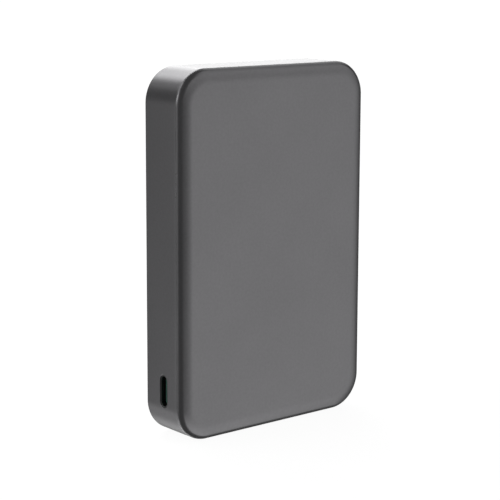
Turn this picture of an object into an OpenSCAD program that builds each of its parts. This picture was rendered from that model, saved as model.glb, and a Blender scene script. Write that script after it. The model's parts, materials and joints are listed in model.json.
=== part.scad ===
// Slim pocket power bank with a magnetic charging face, one edge port,
// one edge button and four charge lights. It stands on its short end:
// X is the width (port at -X, button and lights at +X), Y the depth (smooth
// front face at -Y, charging face at the rear, +Y), Z the height.
// The origin is the centre of the short end it stands on.

/* [Case] */
// Width of the case, without the button
body_w = 65.8; // [65.8:0.1:69]
// Height of the case
body_h = 101; // [101:0.5:106]
// Thickness of the case
body_t = 15.5; // [15.5:0.1:16.5]
// Corner radius seen from the front
corner_r = 9.7; // [9.5:0.1:11]
// Radius of the tight part of the rounded front edge
nose_r = 1.9; // [1.8:0.1:2.2]
// Width over which that radius runs out into the flat face
nose_run = 2.9; // [2.4:0.1:3.2]
// Rounding of the rear edge
rear_round = 0.6; // [0.3:0.1:0.8]
// Wall of the side frame
frame_wall = 1.6; // [1.5:0.1:1.8]
// Wall of the front cover
cover_wall = 1.4; // [1.2:0.1:1.5]

/* [Port and button] */
// Height of the port and button above the base
port_z = 13.6; // [13.4:0.2:15.4]
// Depth position of the port and button
port_y = -0.1; // [-0.2:0.1:0]
// Length of the button
button_l = 9; // [8:0.5:10]
// Width of the button
button_w = 3.4; // [3:0.1:3.6]
// How far the button stands out
button_out = 0.3; // [0.2:0.1:0.4]
// Spacing of the charge lights
led_pitch = 2.2; // [2:0.1:2.4]

/* [Charging module] */
// Height of the coil centre above the base
coil_z = 60; // [59:0.5:62]
// Number of turns in the coil
coil_turns = 11; // [9:1:11]
// Number of magnets in the ring
magnet_count = 18; // [16:1:18]
// Outer radius of the magnet ring
magnet_ro = 26.9; // [26.5:0.1:27]

/* [Cells] */
// Width of each cell
cell_w = 56; // [52:1:56]
// Height of each cell body
cell_h = 60.5; // [56:0.5:60.5]
// Thickness of each cell
cell_t = 4.5; // [4:0.05:4.5]

/* [Hidden] */
$fn = 64;

gap = 0.02;                // clearance between neighbouring pieces
web_gap = 0.04;            // clearance to the frame's web
half_w = body_w / 2;
mid_z = body_h / 2;
front_y = -body_t / 2;     // front face
rear_y = body_t / 2;       // rear face
ledge_y = rear_y - 1.6;    // seat of the rear cover
web_front = rear_y - 4;    // the web is the frame's inner wall
web_rear = rear_y - 3.2;

// Front edge: an arc between two angles, then a parabola that meets the face flush
nose_a0 = 12;              // leaves a small break at the seam
nose_a1 = 76;
nose_arc_w = nose_r * (cos(nose_a0) - cos(nose_a1));
nose_arc_t = nose_r * (sin(nose_a1) - sin(nose_a0));
nose_fall = nose_run / tan(nose_a1);
seam_y = front_y + nose_arc_t + nose_fall / 2; // between front cover and side frame

// Places shared by several pieces, as [x, z]
boss_inset = 6.6;
boss_points = [for (x = [boss_inset - half_w, half_w - boss_inset],
    z = [boss_inset, body_h - boss_inset]) [x, z]];
board_holes = [[-21.3, 5.4], [21.3, 5.4], [-19, 25.6], [17.5, 25.6]];
peg_points = [for (side = [-1, 1], z = [25, 52, 80]) [side * (half_w - 2.45), z]];
peg_d = 1.2;

board_front = port_y - 2.6;
board_rear = port_y - 1.6;
led_z = [for (i = [0:3]) port_z + 7 + i * led_pitch];
shell_l = 8.94;            // port shell
shell_w = 3.16;

cell_z0 = 30;
cell_top = cell_z0 + cell_h;
front_cell_y = front_y + 1.85;
rear_cell_y = front_cell_y + cell_t + 0.25;
cells_rear = rear_cell_y + cell_t;
slot_z = 29.2;             // opening in the web for the coil's leads

// ---------- helpers ----------
// A flat shape drawn in X and Z, given depth from y0 to y1
module ext_y(y0, y1)
    translate([0, y1, 0]) rotate([90, 0, 0]) linear_extrude(y1 - y0) children();

// A flat shape drawn in Y and Z, given width from x0 to x1
module ext_x(x0, x1)
    translate([x0, 0, 0]) rotate([90, 0, 90]) linear_extrude(x1 - x0) children();

// A round bar along Y
module bar_y(x, z, d, y0, y1, fn = 48)
    translate([x, y1, z]) rotate([90, 0, 0]) cylinder(d = d, h = y1 - y0, $fn = fn);

// Equal bars along Y at a list of [x, z]
module bars_y(points, d, y0, y1)
    for (p = points) bar_y(p[0], p[1], d, y0, y1);

// A round bar along X at the port's depth
module bar_x(x, z, d, h)
    translate([x, port_y, z]) rotate([0, 90, 0]) cylinder(d = d, h = h, $fn = 32);

// A block centred on x and z, starting at depth y
module block(x, y, z, w, depth, h)
    translate([x - w / 2, y, z - h / 2]) cube([w, depth, h]);

// Low edge of a block of the given size, inset from the lower (side -1) or upper (1) limit
function inset_edge(side, low, high, inset, size) =
    side > 0 ? high - inset - size : low + inset;

// A block inset from the -X or +X side of the case
module side_block(side, inset, thick, y, depth, z, h)
    translate([inset_edge(side, -half_w, half_w, inset, thick), y, z])
        cube([thick, depth, h]);

// A rounded rectangle centred on the origin
module rrect(w, h, r) {
    square([w - 2 * r, h], center = true);
    square([w, h - 2 * r], center = true);
    for (sx = [-1, 1], sy = [-1, 1])
        translate([sx * (w / 2 - r), sy * (h / 2 - r)]) circle(r);
}

// The case outline moved in by inset
module outline(inset)
    translate([0, mid_z]) rrect(body_w - 2 * inset, body_h - 2 * inset, corner_r - inset);

// The band between two insets of the case outline
module outline_band(outer, inner) difference() {
    outline(outer);
    outline(inner);
}

// A pill lying along Z, centred on the port
module pill(l, w) {
    translate([port_y, port_z]) square([w, l - w], center = true);
    for (s = [-1, 1]) translate([port_y, port_z + s * (l - w) / 2]) circle(d = w);
}

// A closed slab with a shaped edge: edge is a list of [inset, y] from front to rear
module slab(w, h, r, edge, z) {
    first_y = edge[0][1];
    last_y = edge[len(edge) - 1][1];
    profile = concat([for (p = edge) [r - p[0], -p[1]]], [[0, -last_y], [0, -first_y]]);
    core_w = w - 2 * r;
    core_h = h - 2 * r;
    translate([0, 0, z]) rotate([90, 0, 0]) {
        // Corners: side in x, side in z, turn
        for (q = [[1, 1, 0], [-1, 1, 90], [-1, -1, 180], [1, -1, 270]])
            translate([q[0] * core_w / 2, q[1] * core_h / 2, 0]) rotate([0, 0, q[2]])
                rotate_extrude(angle = 90, $fn = 96) polygon(profile);
        // Straight edges: turn, core size across, length
        for (q = [[0, core_w, core_h], [90, core_h, core_w],
                [180, core_w, core_h], [270, core_h, core_w]])
            rotate([0, 0, q[0]]) translate([q[1] / 2, q[2] / 2, 0]) rotate([90, 0, 0])
                linear_extrude(q[2]) polygon(profile);
        translate([-core_w / 2, -core_h / 2, -max(first_y, last_y)])
            cube([core_w, core_h, abs(last_y - first_y)]);
    }
}

// A slab with the case outline moved in by inset
module case_slab(edge, inset = 0)
    slab(body_w - 2 * inset, body_h - 2 * inset, corner_r - inset, edge, mid_z);

// Edge points of a quarter round that ends on a rear face at depth y
function rear_arc(r, y, steps) = [for (k = [0:steps]) let (t = 90 * k / steps)
    [r * (1 - cos(t)), y - r + r * sin(t)]];

// A wire through a list of points
module wire(points, d) {
    for (i = [0:len(points) - 2]) {
        v = points[i + 1] - points[i];
        l = norm(v);
        translate(points[i]) rotate([0, acos(v[2] / l), atan2(v[1], v[0])])
            cylinder(d = d, h = l, $fn = 24);
    }
    for (i = [1:len(points) - 2]) translate(points[i]) sphere(d = d * 1.16, $fn = 24);
}

// A pan-head screw with a hex socket, along Y; way is 1 when its tip points to -Y, else -1
module screw(point, seat, len, way) {
    shank_d = 1.6;
    tip_h = 0.4;
    head_d = 3;
    rim_h = 0.55;
    head_h = 0.9;
    translate([point[0], seat, point[1]]) rotate([90 * way, 0, 0]) {
        cylinder(d = shank_d, h = len - tip_h, $fn = 32);
        translate([0, 0, len - tip_h]) cylinder(d1 = shank_d, d2 = 0.9, h = tip_h, $fn = 32);
        difference() {
            union() {
                translate([0, 0, -rim_h]) cylinder(d = head_d, h = rim_h, $fn = 40);
                translate([0, 0, -head_h])
                    cylinder(d1 = 2.2, d2 = head_d, h = head_h - rim_h, $fn = 40);
            }
            translate([0, 0, -1]) cylinder(d = 1.35, h = 0.65, $fn = 6);
        }
    }
}

// A ring sector about the coil centre, from start over sweep degrees (0 is +X, turning to +Z)
module sector(ri, ro, y0, y1, start, sweep)
    translate([0, 0, coil_z]) rotate([90, 0, 0]) rotate([0, 0, start])
        rotate_extrude(angle = sweep, $fn = 128)
            polygon([[ri, -y1], [ro, -y1], [ro, -y0], [ri, -y0]]);

// A ring about the coil centre with an opening of so many degrees at the bottom
module open_ring(ri, ro, y0, y1, opening)
    sector(ri, ro, y0, y1, opening / 2 - 90, 360 - opening);

module ring(ri, ro, y0, y1) ext_y(y0, y1) translate([0, coil_z]) difference() {
    circle(ro, $fn = 128);
    circle(ri, $fn = 128);
}

// ---------- casing ----------
snap_l = 6;
snap_z = [38, 62, 86];     // snaps on the two sides
snap_x = [-13, 13];        // snaps on the two ends
cover_inset = 1.7;         // rear cover, in from the case outline
pad_ri = 21.5;
pad_ro = 28;
pad_t = 0.38;

// One block at every snap, inset from the outside of the case
module snap_blocks(inset, thick, y, depth, l) for (side = [-1, 1]) {
    for (z = snap_z) side_block(side, inset, thick, y, depth, z - l / 2, l);
    for (x = snap_x)
        translate([x - l / 2, y, inset_edge(side, 0, body_h, inset, thick)])
            cube([l, depth, thick]);
}

front_edge = concat(
    [for (k = [0:10]) let (t = nose_a0 + (nose_a1 - nose_a0) * k / 10)
        [nose_r * (cos(nose_a0) - cos(t)), seam_y - nose_r * (sin(t) - sin(nose_a0))]],
    [for (k = [1:5]) let (u = k / 5)
        [nose_arc_w + nose_run * u, seam_y - nose_arc_t - nose_fall * (u - u * u / 2)]]);
cavity_edge = [[1.5, seam_y + 0.4], [1.5, seam_y - 0.1], [1.7, seam_y - 0.25],
    [2.4, front_y + cover_wall]];

module front_cover() color([0.30, 0.30, 0.31]) difference() {
    union() {
        difference() {
            case_slab(front_edge);
            case_slab(cavity_edge);
        }
        // Lip that enters the frame
        ext_y(seam_y - 0.3, seam_y + 1) outline_band(0.85, 1.5);
        // Snap hooks: stem, then barb
        snap_blocks(1.7, 0.7, seam_y - 0.9, 4.1, snap_l);
        snap_blocks(1.3, 0.5, seam_y + 2.1, 0.7, snap_l);
        bars_y(boss_points, 4, front_y + 1.3, web_front - 0.1);
        // Ribs inside the face
        for (x = [-20, 20]) translate([x - 0.5, front_y + 1.2, 3.5]) cube([1, 2.2, 22]);
    }
    bars_y(boss_points, 1.7, web_front - 9, web_front + 1);
}

module side_frame() color([0.27, 0.27, 0.28]) difference() {
    union() {
        difference() {
            case_slab(concat([[0, seam_y]], rear_arc(rear_round, rear_y, 6)));
            ext_y(seam_y - 1, rear_y + 1) outline(frame_wall);
            // Rebate for the front cover's lip, then snap recesses
            ext_y(seam_y - 1, seam_y + 1.05) outline(0.8);
            snap_blocks(1.15, 0.85, seam_y + 2, 0.95, snap_l + 0.6);
        }
        // Web, and the seat for the rear cover
        ext_y(web_front, web_rear) outline(frame_wall - 0.2);
        ext_y(web_rear - 0.1, ledge_y) outline_band(frame_wall - 0.2, 3.2);
        bars_y(boss_points, 5.6, web_front, web_rear + 0.6);
        bars_y(board_holes, 3.8, board_rear + gap, web_front + 0.1);
        // Rim round the magnets
        open_ring(magnet_ro + 0.4, magnet_ro + 1.2, web_rear - 0.1, web_rear + 1.1, 50);
        // Side ribs on the front of the web
        for (z = [34, 58, 82], side = [-1, 1])
            side_block(side, 1.5, 2.3, web_front - 1.6, 1.7, z, 1);
    }
    // Openings for the port, button and lights
    ext_x(-half_w - 1, -half_w + 3) pill(shell_l + 0.16, shell_w + 0.16);
    ext_x(half_w - 3, half_w + 1) pill(button_l + 0.2, button_w + 0.2);
    for (z = led_z) bar_x(half_w - 3, z, 1.3, 4);
    // Screw and peg holes
    bars_y(boss_points, 1.8, web_front - 1, web_rear + 2);
    bars_y(board_holes, 1.7, board_rear - 1, web_front - 0.2);
    bars_y(peg_points, peg_d + 0.1, ledge_y - 1.2, ledge_y + 1);
    // Lead slot and three windows through the web
    ext_y(web_front - 1, web_rear + 1) {
        translate([2.6, slot_z]) rrect(9.4, 2.6, 1.2);
        for (x = [-12, 0, 12]) translate([x, 12]) rrect(8, 10, 2);
    }
}

module rear_cover() color([0.27, 0.27, 0.28]) {
    difference() {
        case_slab([[0, ledge_y + 0.2], [0, rear_y - 0.15], [0.15, rear_y]], cover_inset);
        ring(pad_ri - 0.1, pad_ro + 0.1, rear_y - pad_t - 0.02, rear_y + 1);
        // Round recess inside, facing the coil
        ext_y(rear_y - 2, rear_y - 1.1) translate([0, coil_z]) circle(r = 19.5, $fn = 128);
    }
    bars_y(peg_points, peg_d, ledge_y - 0.9, ledge_y + 0.5);
}

module charge_pad() color([0.20, 0.20, 0.21]) ring(pad_ri, pad_ro, rear_y - pad_t, rear_y);

module rear_gasket() color([0.1, 0.1, 0.1]) difference() {
    ext_y(ledge_y + 0.01, ledge_y + 0.19) outline_band(1.75, 3.1);
    bars_y(peg_points, peg_d + 0.05, ledge_y - 1, ledge_y + 1);
}

// ---------- button and lights ----------
button_x = half_w + button_out;
button_rim = 0.2;          // depth of the smaller outer step

module power_button() color([0.27, 0.27, 0.28]) {
    ext_x(half_w - 1.85, button_x - button_rim) pill(button_l, button_w);
    ext_x(button_x - button_rim, button_x) pill(button_l - 0.3, button_w - 0.3);
    // Flange inside the frame, and the stub that meets the switch
    ext_x(half_w - 2.35, half_w - 1.75) pill(button_l + 1.4, button_w + 1.4);
    bar_x(half_w - 3.05, port_z, 2, 0.8);
}

module light_guide() color([0.85, 0.87, 0.88]) {
    translate([half_w - 3.5, port_y - 1.4, led_z[0] - 1.2])
        cube([1.75, 2.6, led_pitch * 3 + 2.4]);
    for (z = led_z) bar_x(half_w - 1.8, z, 1.2, 1.8);
}

// ---------- main board ----------
board_foot_z = 2.8;
board_foot_hw = 23.5;      // half width of the narrow foot
board_wide_z = 9.2;        // full width from here up
board_hw = half_w - 3;
board_top = 28.5;
shell_wall = 0.29;
bore_l = shell_l - 2 * shell_wall;
bore_w = shell_w - 2 * shell_wall;
leg_x = [-half_w + 4, -half_w + 6.6]; // legs of the port shell
leg_z = [port_z - 4.62, port_z + 4.62];
contact_pitch = 0.5;
contact_t = 0.05;
tongue_t = 0.7;

module main_board() color([0.04, 0.22, 0.13]) difference() {
    ext_y(board_front, board_rear) difference() {
        union() {
            translate([-board_foot_hw, board_foot_z])
                square([2 * board_foot_hw, board_top - board_foot_z]);
            translate([-board_hw, board_wide_z])
                square([2 * board_hw, board_top - board_wide_z]);
        }
        for (p = board_holes) translate(p) circle(d = 1.9, $fn = 32);
        for (x = leg_x, z = leg_z) translate([x, z]) square([1.3, 0.8], center = true);
    }
}

module usb_c_shell() color([0.32, 0.32, 0.33]) {
    difference() {
        ext_x(-half_w + 0.15, -half_w + 7.4) pill(shell_l, shell_w);
        ext_x(-half_w - 1, -half_w + 8) pill(bore_l, bore_w);
    }
    for (x = leg_x, z = leg_z) block(x, board_front - 0.5, z, 1, 2.9, 0.3);
}

module usb_c_tongue() color([0.02, 0.20, 0.13]) {
    translate([-half_w + 0.95, port_y - tongue_t / 2, port_z - 3.35])
        cube([5.6, tongue_t, 6.7]);
    // Plug that fills the inner end of the shell
    ext_x(-half_w + 5.6, -half_w + 7.3) pill(bore_l - 0.06, bore_w - 0.06);
}

module usb_c_contacts() color([0.83, 0.66, 0.33])
    for (y = [port_y - tongue_t / 2 - contact_t, port_y + tongue_t / 2], i = [0:11])
        translate([-half_w + 1.7, y, port_z + (i - 5.5) * contact_pitch - 0.13])
            cube([3.8, contact_t, 0.26]);

module tact_switch_body() color([0.75, 0.75, 0.76]) difference() {
    translate([half_w - 7.7, board_rear + gap, port_z - 3]) cube([3.6, 3.14, 6]);
    // Plunger pocket, then a groove near each end of the rear face
    translate([half_w - 5.9, port_y - 0.75, port_z - 1.4]) cube([3, 1.5, 2.8]);
    for (s = [-1, 1])
        translate([half_w - 7.8, board_rear + 2.6, port_z + s * 2.7 - 0.4])
            cube([3.9, 1, 0.8]);
}

module tact_switch_plunger() color([0.08, 0.08, 0.08])
    translate([half_w - 5.4, port_y - 0.65, port_z - 1.3]) cube([2.3, 1.3, 2.6]);

module status_leds() color([0.95, 0.95, 0.9]) for (z = led_z) {
    translate([half_w - 4.8, board_rear + gap, z - 0.8]) cube([0.7, 0.8, 1.6]);
    translate([half_w - 4.1, board_rear + 0.12, z - 0.5]) cube([0.35, 0.6, 1]);
}

// Moulded inductors on the board's front, each with a smaller raised top
module power_inductors() color([0.16, 0.16, 0.17]) {
    w = 8;
    top_y = board_front - 2.8;
    for (x = [-8, 4]) {
        ext_y(top_y, board_front - gap) translate([x, 15]) rrect(w, w, 1);
        ext_y(top_y - 0.3, top_y + 0.05) translate([x, 15]) rrect(w - 0.8, w - 0.8, 0.8);
    }
}

// Square packages: x, z, width, height off the board, side (-1 front, 1 rear)
chips = [
    [-17.5, 17, 5, 0.9, -1], [14, 19, 5, 0.9, -1], [21.5, 17, 4, 0.8, -1],
    [-17.5, 9.5, 3.3, 0.8, -1], [13, 11, 3.3, 0.8, -1], [18, 11, 3.3, 0.8, -1],
    [-6, 10, 5, 0.9, 1], [6, 18, 4, 0.8, 1]];
module board_chips() color([0.07, 0.07, 0.08]) for (c = chips) {
    y = c[4] > 0 ? board_rear + gap : board_front - gap - c[3];
    block(c[0], y, c[1], c[2], c[3], c[2]);
}

// Capacitors on the board's front: x, z, width in x, width in z, height off the board
capacitors = [
    for (i = [0:3]) [-13 + i * 4.2, 24.3, 3.2, 1.6, 1.6],
    for (i = [0:2]) [3.5 + i * 4, 24.3, 2, 1.25, 1.25],
    for (x = [-13, -7, -1]) [x, 6, 3.5, 2.8, 1.9],
    for (x = [5, 10]) [x, 6, 3.2, 1.6, 1.6]];
module board_capacitors() color([0.68, 0.55, 0.38])
    for (c = capacitors) block(c[0], board_front - gap - c[4], c[1], c[2], c[4], c[3]);

module board_screws() color([0.6, 0.6, 0.62])
    for (p = board_holes) screw(p, board_front - 0.01, 4.6, -1);

module case_screws() color([0.6, 0.6, 0.62])
    for (p = boss_points) screw(p, web_rear + 0.61, 7.4, 1);

// ---------- cells ----------
cell_round = 1.1;
seal_top = cell_top + 1.7;
pcb_z = cell_top + 3.95;   // protection board
pcb_t = 0.8;
lead_x = cell_w / 2 + 1.25;
sensor_wire = 0.24;        // thickness of the thermistors' square wires
sensor_foot_z = 26.4;

// A pouch cell from depth y, with its sealed top strip
module cell(y) {
    front_arc = [for (k = [0:5]) let (t = 90 - 18 * k)
        [cell_round * (1 - cos(t)), y + cell_round - cell_round * sin(t)]];
    slab(cell_w, cell_h, 3, concat(front_arc, rear_arc(cell_round, y + cell_t, 5)),
        cell_z0 + cell_h / 2);
    translate([-20.5, y + cell_t / 2 - 0.3, cell_top - 0.5]) cube([41, 0.6, 2.2]);
}

module cell_front() color([0.70, 0.72, 0.74]) cell(front_cell_y);

module cell_rear() color([0.70, 0.72, 0.74]) cell(rear_cell_y);

module cell_tabs() color([0.78, 0.76, 0.72])
    for (y = [front_cell_y, rear_cell_y], x = [-12, 8])
        translate([x, y + cell_t / 2 - 0.06, seal_top + gap]) cube([5, 0.12, 2.2]);

module protection_board() color([0.04, 0.16, 0.30])
    translate([-20, front_cell_y + 1.6, pcb_z])
        cube([40, cells_rear - front_cell_y - 3.2, pcb_t]);

module protection_chips() color([0.07, 0.07, 0.08])
    for (x = [-13, -7, 4, 10, 15])
        translate([x - 1.5, (front_cell_y + cells_rear) / 2 - 1.5, pcb_z + pcb_t + gap])
            cube([3, 3, 0.8]);

// A lead from the protection board at depth start_y, down beside the cells at run_y,
// to the main board at end_z
module lead(start_y, run_y, end_z) {
    end_y = board_front - 0.85;
    wire([[20.5, start_y, pcb_z + 0.4], [24, run_y, cell_top + 1.25],
        [lead_x, run_y, cell_top + 0.3], [lead_x, run_y, end_z + 2.6],
        [27.6, end_y, end_z], [25.8, end_y, end_z]], 1.3);
}

module lead_positive() color([0.75, 0.05, 0.04])
    lead(front_cell_y + 4.3, board_front - 0.9, 26.4);

module lead_negative() color([0.04, 0.04, 0.04])
    lead(front_cell_y + 2.5, front_y + 2.4, 22.6);

module cell_thermistor() color([0.08, 0.08, 0.09]) {
    bar_y(-15, 29.4, 1, board_front - 1, board_front - 0.1, 32);
    for (x = [-15.28, -14.72])
        translate([x - sensor_wire / 2, board_front - 0.6, sensor_foot_z])
            cube([sensor_wire, sensor_wire, 2.7]);
}

// ---------- sheets and pads ----------
// A rounded sheet centred on the cells
module cell_sheet(w, h, r, y0, y1)
    ext_y(y0, y1) translate([0, cell_z0 + cell_h / 2]) rrect(w, h, r);

module foam_pad() color([0.12, 0.12, 0.12])
    cell_sheet(46, 50, 3, front_y + cover_wall + gap, front_cell_y - gap);

module cell_tape() color([0.86, 0.84, 0.76])
    cell_sheet(50, 52, 2, front_cell_y + cell_t + gap, rear_cell_y - gap);

module heat_sheet() color([0.22, 0.22, 0.24])
    cell_sheet(54, 56, 2, cells_rear + gap, web_front - web_gap);

// A level sheet between board and cells, notched for the thermistor and at both ends
module insulation_sheet() color([0.86, 0.80, 0.62]) difference() {
    translate([-27, front_y + 1.75, 28.75]) cube([54, body_t - 8.1, 0.2]);
    translate([-16.4, front_y + 1, 28]) cube([2.8, 5, 2]);
    for (x = [-27.1, 25.8]) translate([x, front_y + 1, 28]) cube([1.3, 6.4, 2]);
}

// ---------- charging module ----------
magnet_ri = magnet_ro - 3.8;
magnet_opening = 32;       // degrees left free at the bottom of the ring
magnet_step = (360 - magnet_opening) / magnet_count;
coil_r0 = 10.7;            // centre of the innermost turn
coil_pitch = 0.96;

module magnet_ring() color([0.62, 0.62, 0.64])
    for (i = [0:magnet_count - 1])
        sector(magnet_ri, magnet_ro, web_rear + 0.4, ledge_y,
            magnet_opening / 2 - 90 + i * magnet_step + 0.5, magnet_step - 1);

module steel_ring() color([0.5, 0.5, 0.52])
    open_ring(magnet_ri - 0.1, magnet_ro + 0.1, web_rear + web_gap, web_rear + 0.36, 30);

module alignment_magnet() color([0.62, 0.62, 0.64])
    ext_y(web_rear + web_gap, web_rear + 1.3) translate([0, 22.5]) rrect(6, 7, 0.6);

module charging_coil() color([0.72, 0.42, 0.22])
    translate([0, web_rear + 1.12, coil_z]) rotate([-90, 0, 0])
        rotate_extrude($fn = 128) for (i = [0:coil_turns - 1])
            translate([coil_r0 + i * coil_pitch, 0]) circle(d = 1, $fn = 20);

// A disc with a slit from its centre down
module ferrite_sheet() color([0.13, 0.13, 0.14])
    ext_y(web_rear + web_gap, web_rear + 0.58) difference() {
        translate([0, coil_z]) circle(r = 22.4, $fn = 128);
        translate([-0.9, coil_z - 24]) square([1.8, 25]);
    }

module coil_leads() color([0.72, 0.42, 0.22])
    for (x = [3.6, 5.4])
        wire([[x, web_rear + 1.1, coil_z - 21.4], [x, web_rear + 1.1, slot_z + 1.2],
            [x, web_front - 1.3, slot_z - 1.6], [x, board_rear + 0.6, 24]], 0.9);

// A bead at the coil centre; its wires pass through the web's slot to the board
module coil_thermistor() color([0.08, 0.08, 0.09]) {
    rear_run = web_rear + 0.2;
    front_run = web_front - 0.62;
    foot_y = board_rear + gap;
    bar_y(0, coil_z, 1.6, web_rear + 0.1, web_rear + 1, 32);
    // Wire runs: y, z, size in y, size in z
    for (x = [-0.4, 0.4], run = [
            [rear_run, slot_z, sensor_wire, coil_z - slot_z],
            [front_run, slot_z, rear_run + sensor_wire - front_run, sensor_wire],
            [front_run, sensor_foot_z, sensor_wire, slot_z - sensor_foot_z],
            [foot_y, sensor_foot_z, front_run + sensor_wire - foot_y, sensor_wire]])
        translate([x - sensor_wire / 2, run[0], run[1]]) cube([sensor_wire, run[2], run[3]]);
}

front_cover();
side_frame();
rear_cover();
charge_pad();
rear_gasket();
power_button();
light_guide();
main_board();
usb_c_shell();
usb_c_tongue();
usb_c_contacts();
tact_switch_body();
tact_switch_plunger();
status_leds();
power_inductors();
board_chips();
board_capacitors();
board_screws();
case_screws();
cell_front();
cell_rear();
cell_tabs();
protection_board();
protection_chips();
lead_positive();
lead_negative();
cell_thermistor();
foam_pad();
cell_tape();
heat_sheet();
insulation_sheet();
magnet_ring();
steel_ring();
alignment_magnet();
charging_coil();
ferrite_sheet();
coil_leads();
coil_thermistor();
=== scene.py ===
import json
import math

import bmesh
import bpy
from mathutils import Matrix, Vector


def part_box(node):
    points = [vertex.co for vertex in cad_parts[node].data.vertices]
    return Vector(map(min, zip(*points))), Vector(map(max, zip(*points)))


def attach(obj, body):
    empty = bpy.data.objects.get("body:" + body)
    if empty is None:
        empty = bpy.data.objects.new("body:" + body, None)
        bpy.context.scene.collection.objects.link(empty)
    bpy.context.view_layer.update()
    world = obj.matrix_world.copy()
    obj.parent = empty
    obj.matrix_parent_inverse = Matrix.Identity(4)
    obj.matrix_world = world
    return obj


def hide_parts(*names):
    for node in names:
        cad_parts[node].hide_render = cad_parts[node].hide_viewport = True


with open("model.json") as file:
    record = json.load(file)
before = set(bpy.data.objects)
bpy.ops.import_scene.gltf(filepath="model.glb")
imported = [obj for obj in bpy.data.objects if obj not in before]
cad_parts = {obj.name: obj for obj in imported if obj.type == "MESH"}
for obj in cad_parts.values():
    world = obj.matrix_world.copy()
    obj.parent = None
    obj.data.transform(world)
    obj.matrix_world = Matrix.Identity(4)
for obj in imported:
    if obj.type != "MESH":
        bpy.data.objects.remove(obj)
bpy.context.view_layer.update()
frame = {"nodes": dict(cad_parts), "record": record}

MM = 0.001

# ------------------------------------------------------------------ places
cover_lo, cover_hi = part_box("front_cover")
band_lo, band_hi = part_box("side_frame")
rear_lo, rear_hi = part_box("rear_cover")
HX = band_hi.x / MM                  # half width
HZ = band_hi.z / MM                  # height
ZC = HZ / 2
YF = cover_lo.y / MM                 # front face
YS = band_lo.y / MM                  # seam between front cover and side band
YR = band_hi.y / MM                  # rear face
CR = 9.7                             # corner radius seen from the front
NR, NRUN = 1.9, 2.9                  # front edge: radius of its arc, and the length it eases into the face
NA0, NA1 = math.radians(12), math.radians(76)
NX = NR * (math.cos(NA0) - math.cos(NA1)) + NRUN
NY = YS - YF                         # its depth
LEDGE = YR - 1.6                     # seat of the rear cover
WEB0, WEB1 = YR - 4.0, YR - 3.2      # inner wall of the band
RIM = (HX - rear_hi.x / MM)          # inset of the rear cover
usb_lo, usb_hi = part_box("usb_c_shell")
PY = (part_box("power_button")[0].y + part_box("power_button")[1].y) / 2 / MM
PZ = (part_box("power_button")[0].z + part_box("power_button")[1].z) / 2 / MM
pad_lo, pad_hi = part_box("charge_pad")
COIL_Z = (pad_lo.z + pad_hi.z) / 2 / MM
guide_lo, guide_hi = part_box("light_guide")
BX = HX - 6.6                        # case bosses
BZ = (6.6, HZ - 6.6)

OBJ = []


# ------------------------------------------------------------------ mesh helpers
def new_object(name, bm, smooth=True, angle=32.0, weighted=True):
    """A mesh object from a bmesh drawn in millimetres."""
    bmesh.ops.remove_doubles(bm, verts=bm.verts, dist=1e-5)
    bmesh.ops.recalc_face_normals(bm, faces=bm.faces)
    bmesh.ops.scale(bm, vec=(MM, MM, MM), verts=bm.verts)
    me = bpy.data.meshes.new(name)
    bm.to_mesh(me)
    bm.free()
    ob = bpy.data.objects.new(name, me)
    bpy.context.scene.collection.objects.link(ob)
    if smooth:
        shade(ob, angle, weighted)
    OBJ.append(ob)
    return ob


def shade(ob, angle=32.0, weighted=True):
    me = ob.data
    me.polygons.foreach_set("use_smooth", [True] * len(me.polygons))
    bm = bmesh.new()
    bm.from_mesh(me)
    lim = math.radians(angle)
    for e in bm.edges:
        e.smooth = not (len(e.link_faces) != 2 or e.calc_face_angle(0.0) > lim)
    bm.to_mesh(me)
    bm.free()
    if weighted:
        w = ob.modifiers.new("weighted", "WEIGHTED_NORMAL")
        w.keep_sharp = True
        w.weight = 60


def outline(d, r=None, hw=None, hh=None, zc=None, n=28, m=6):
    """Points of a rounded rectangle in X and Z, inset by d."""
    r = CR if r is None else r
    hw = HX if hw is None else hw
    hh = HZ / 2 if hh is None else hh
    zc = ZC if zc is None else zc
    cx, cz, rr = hw - r, hh - r, max(r - d, 1e-4)
    pts = []
    for k, (sx, sz) in enumerate(((1, 1), (-1, 1), (-1, -1), (1, -1))):
        for i in range(n + 1):
            t = math.radians(90 * k + 90 * i / n)
            pts.append((sx * cx + rr * math.cos(t), zc + sz * cz + rr * math.sin(t)))
        # points along the straight to the next corner
        t = math.radians(90 * k + 90)
        a = Vector((sx * cx + rr * math.cos(t), zc + sz * cz + rr * math.sin(t)))
        nx, nz = ((-1, 1), (-1, -1), (1, -1), (1, 1))[k]
        b = Vector((nx * cx + rr * math.cos(t), zc + nz * cz + rr * math.sin(t)))
        for i in range(1, m):
            p = a.lerp(b, i / m)
            pts.append((p.x, p.y))
    return pts


def loft(bm, rings, cap0=True, cap1=True):
    """Joins rings of points with quads; the end rings are filled."""
    vs = [[bm.verts.new(p) for p in ring] for ring in rings]
    n = len(vs[0])
    for a, b in zip(vs, vs[1:]):
        for i in range(n):
            j = (i + 1) % n
            bm.faces.new((a[i], a[j], b[j], b[i]))
    if cap0:
        bm.faces.new(list(reversed(vs[0])))
    if cap1:
        bm.faces.new(vs[-1])
    return vs


def slab_rings(profile, **kw):
    """Rings for a rounded rectangle whose edge follows a list of (inset, y)."""
    return [[(x, y, z) for x, z in outline(d, **kw)] for d, y in profile]


def arc(c0, c1, r, a0, a1, n=5):
    """Points on a circle about (c0, c1), from angle a0 to a1 in degrees."""
    return [(c0 + r * math.cos(math.radians(a0 + (a1 - a0) * i / n)), c1 + r * math.sin(math.radians(a0 + (a1 - a0) * i / n))) for i in range(n + 1)]


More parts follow.
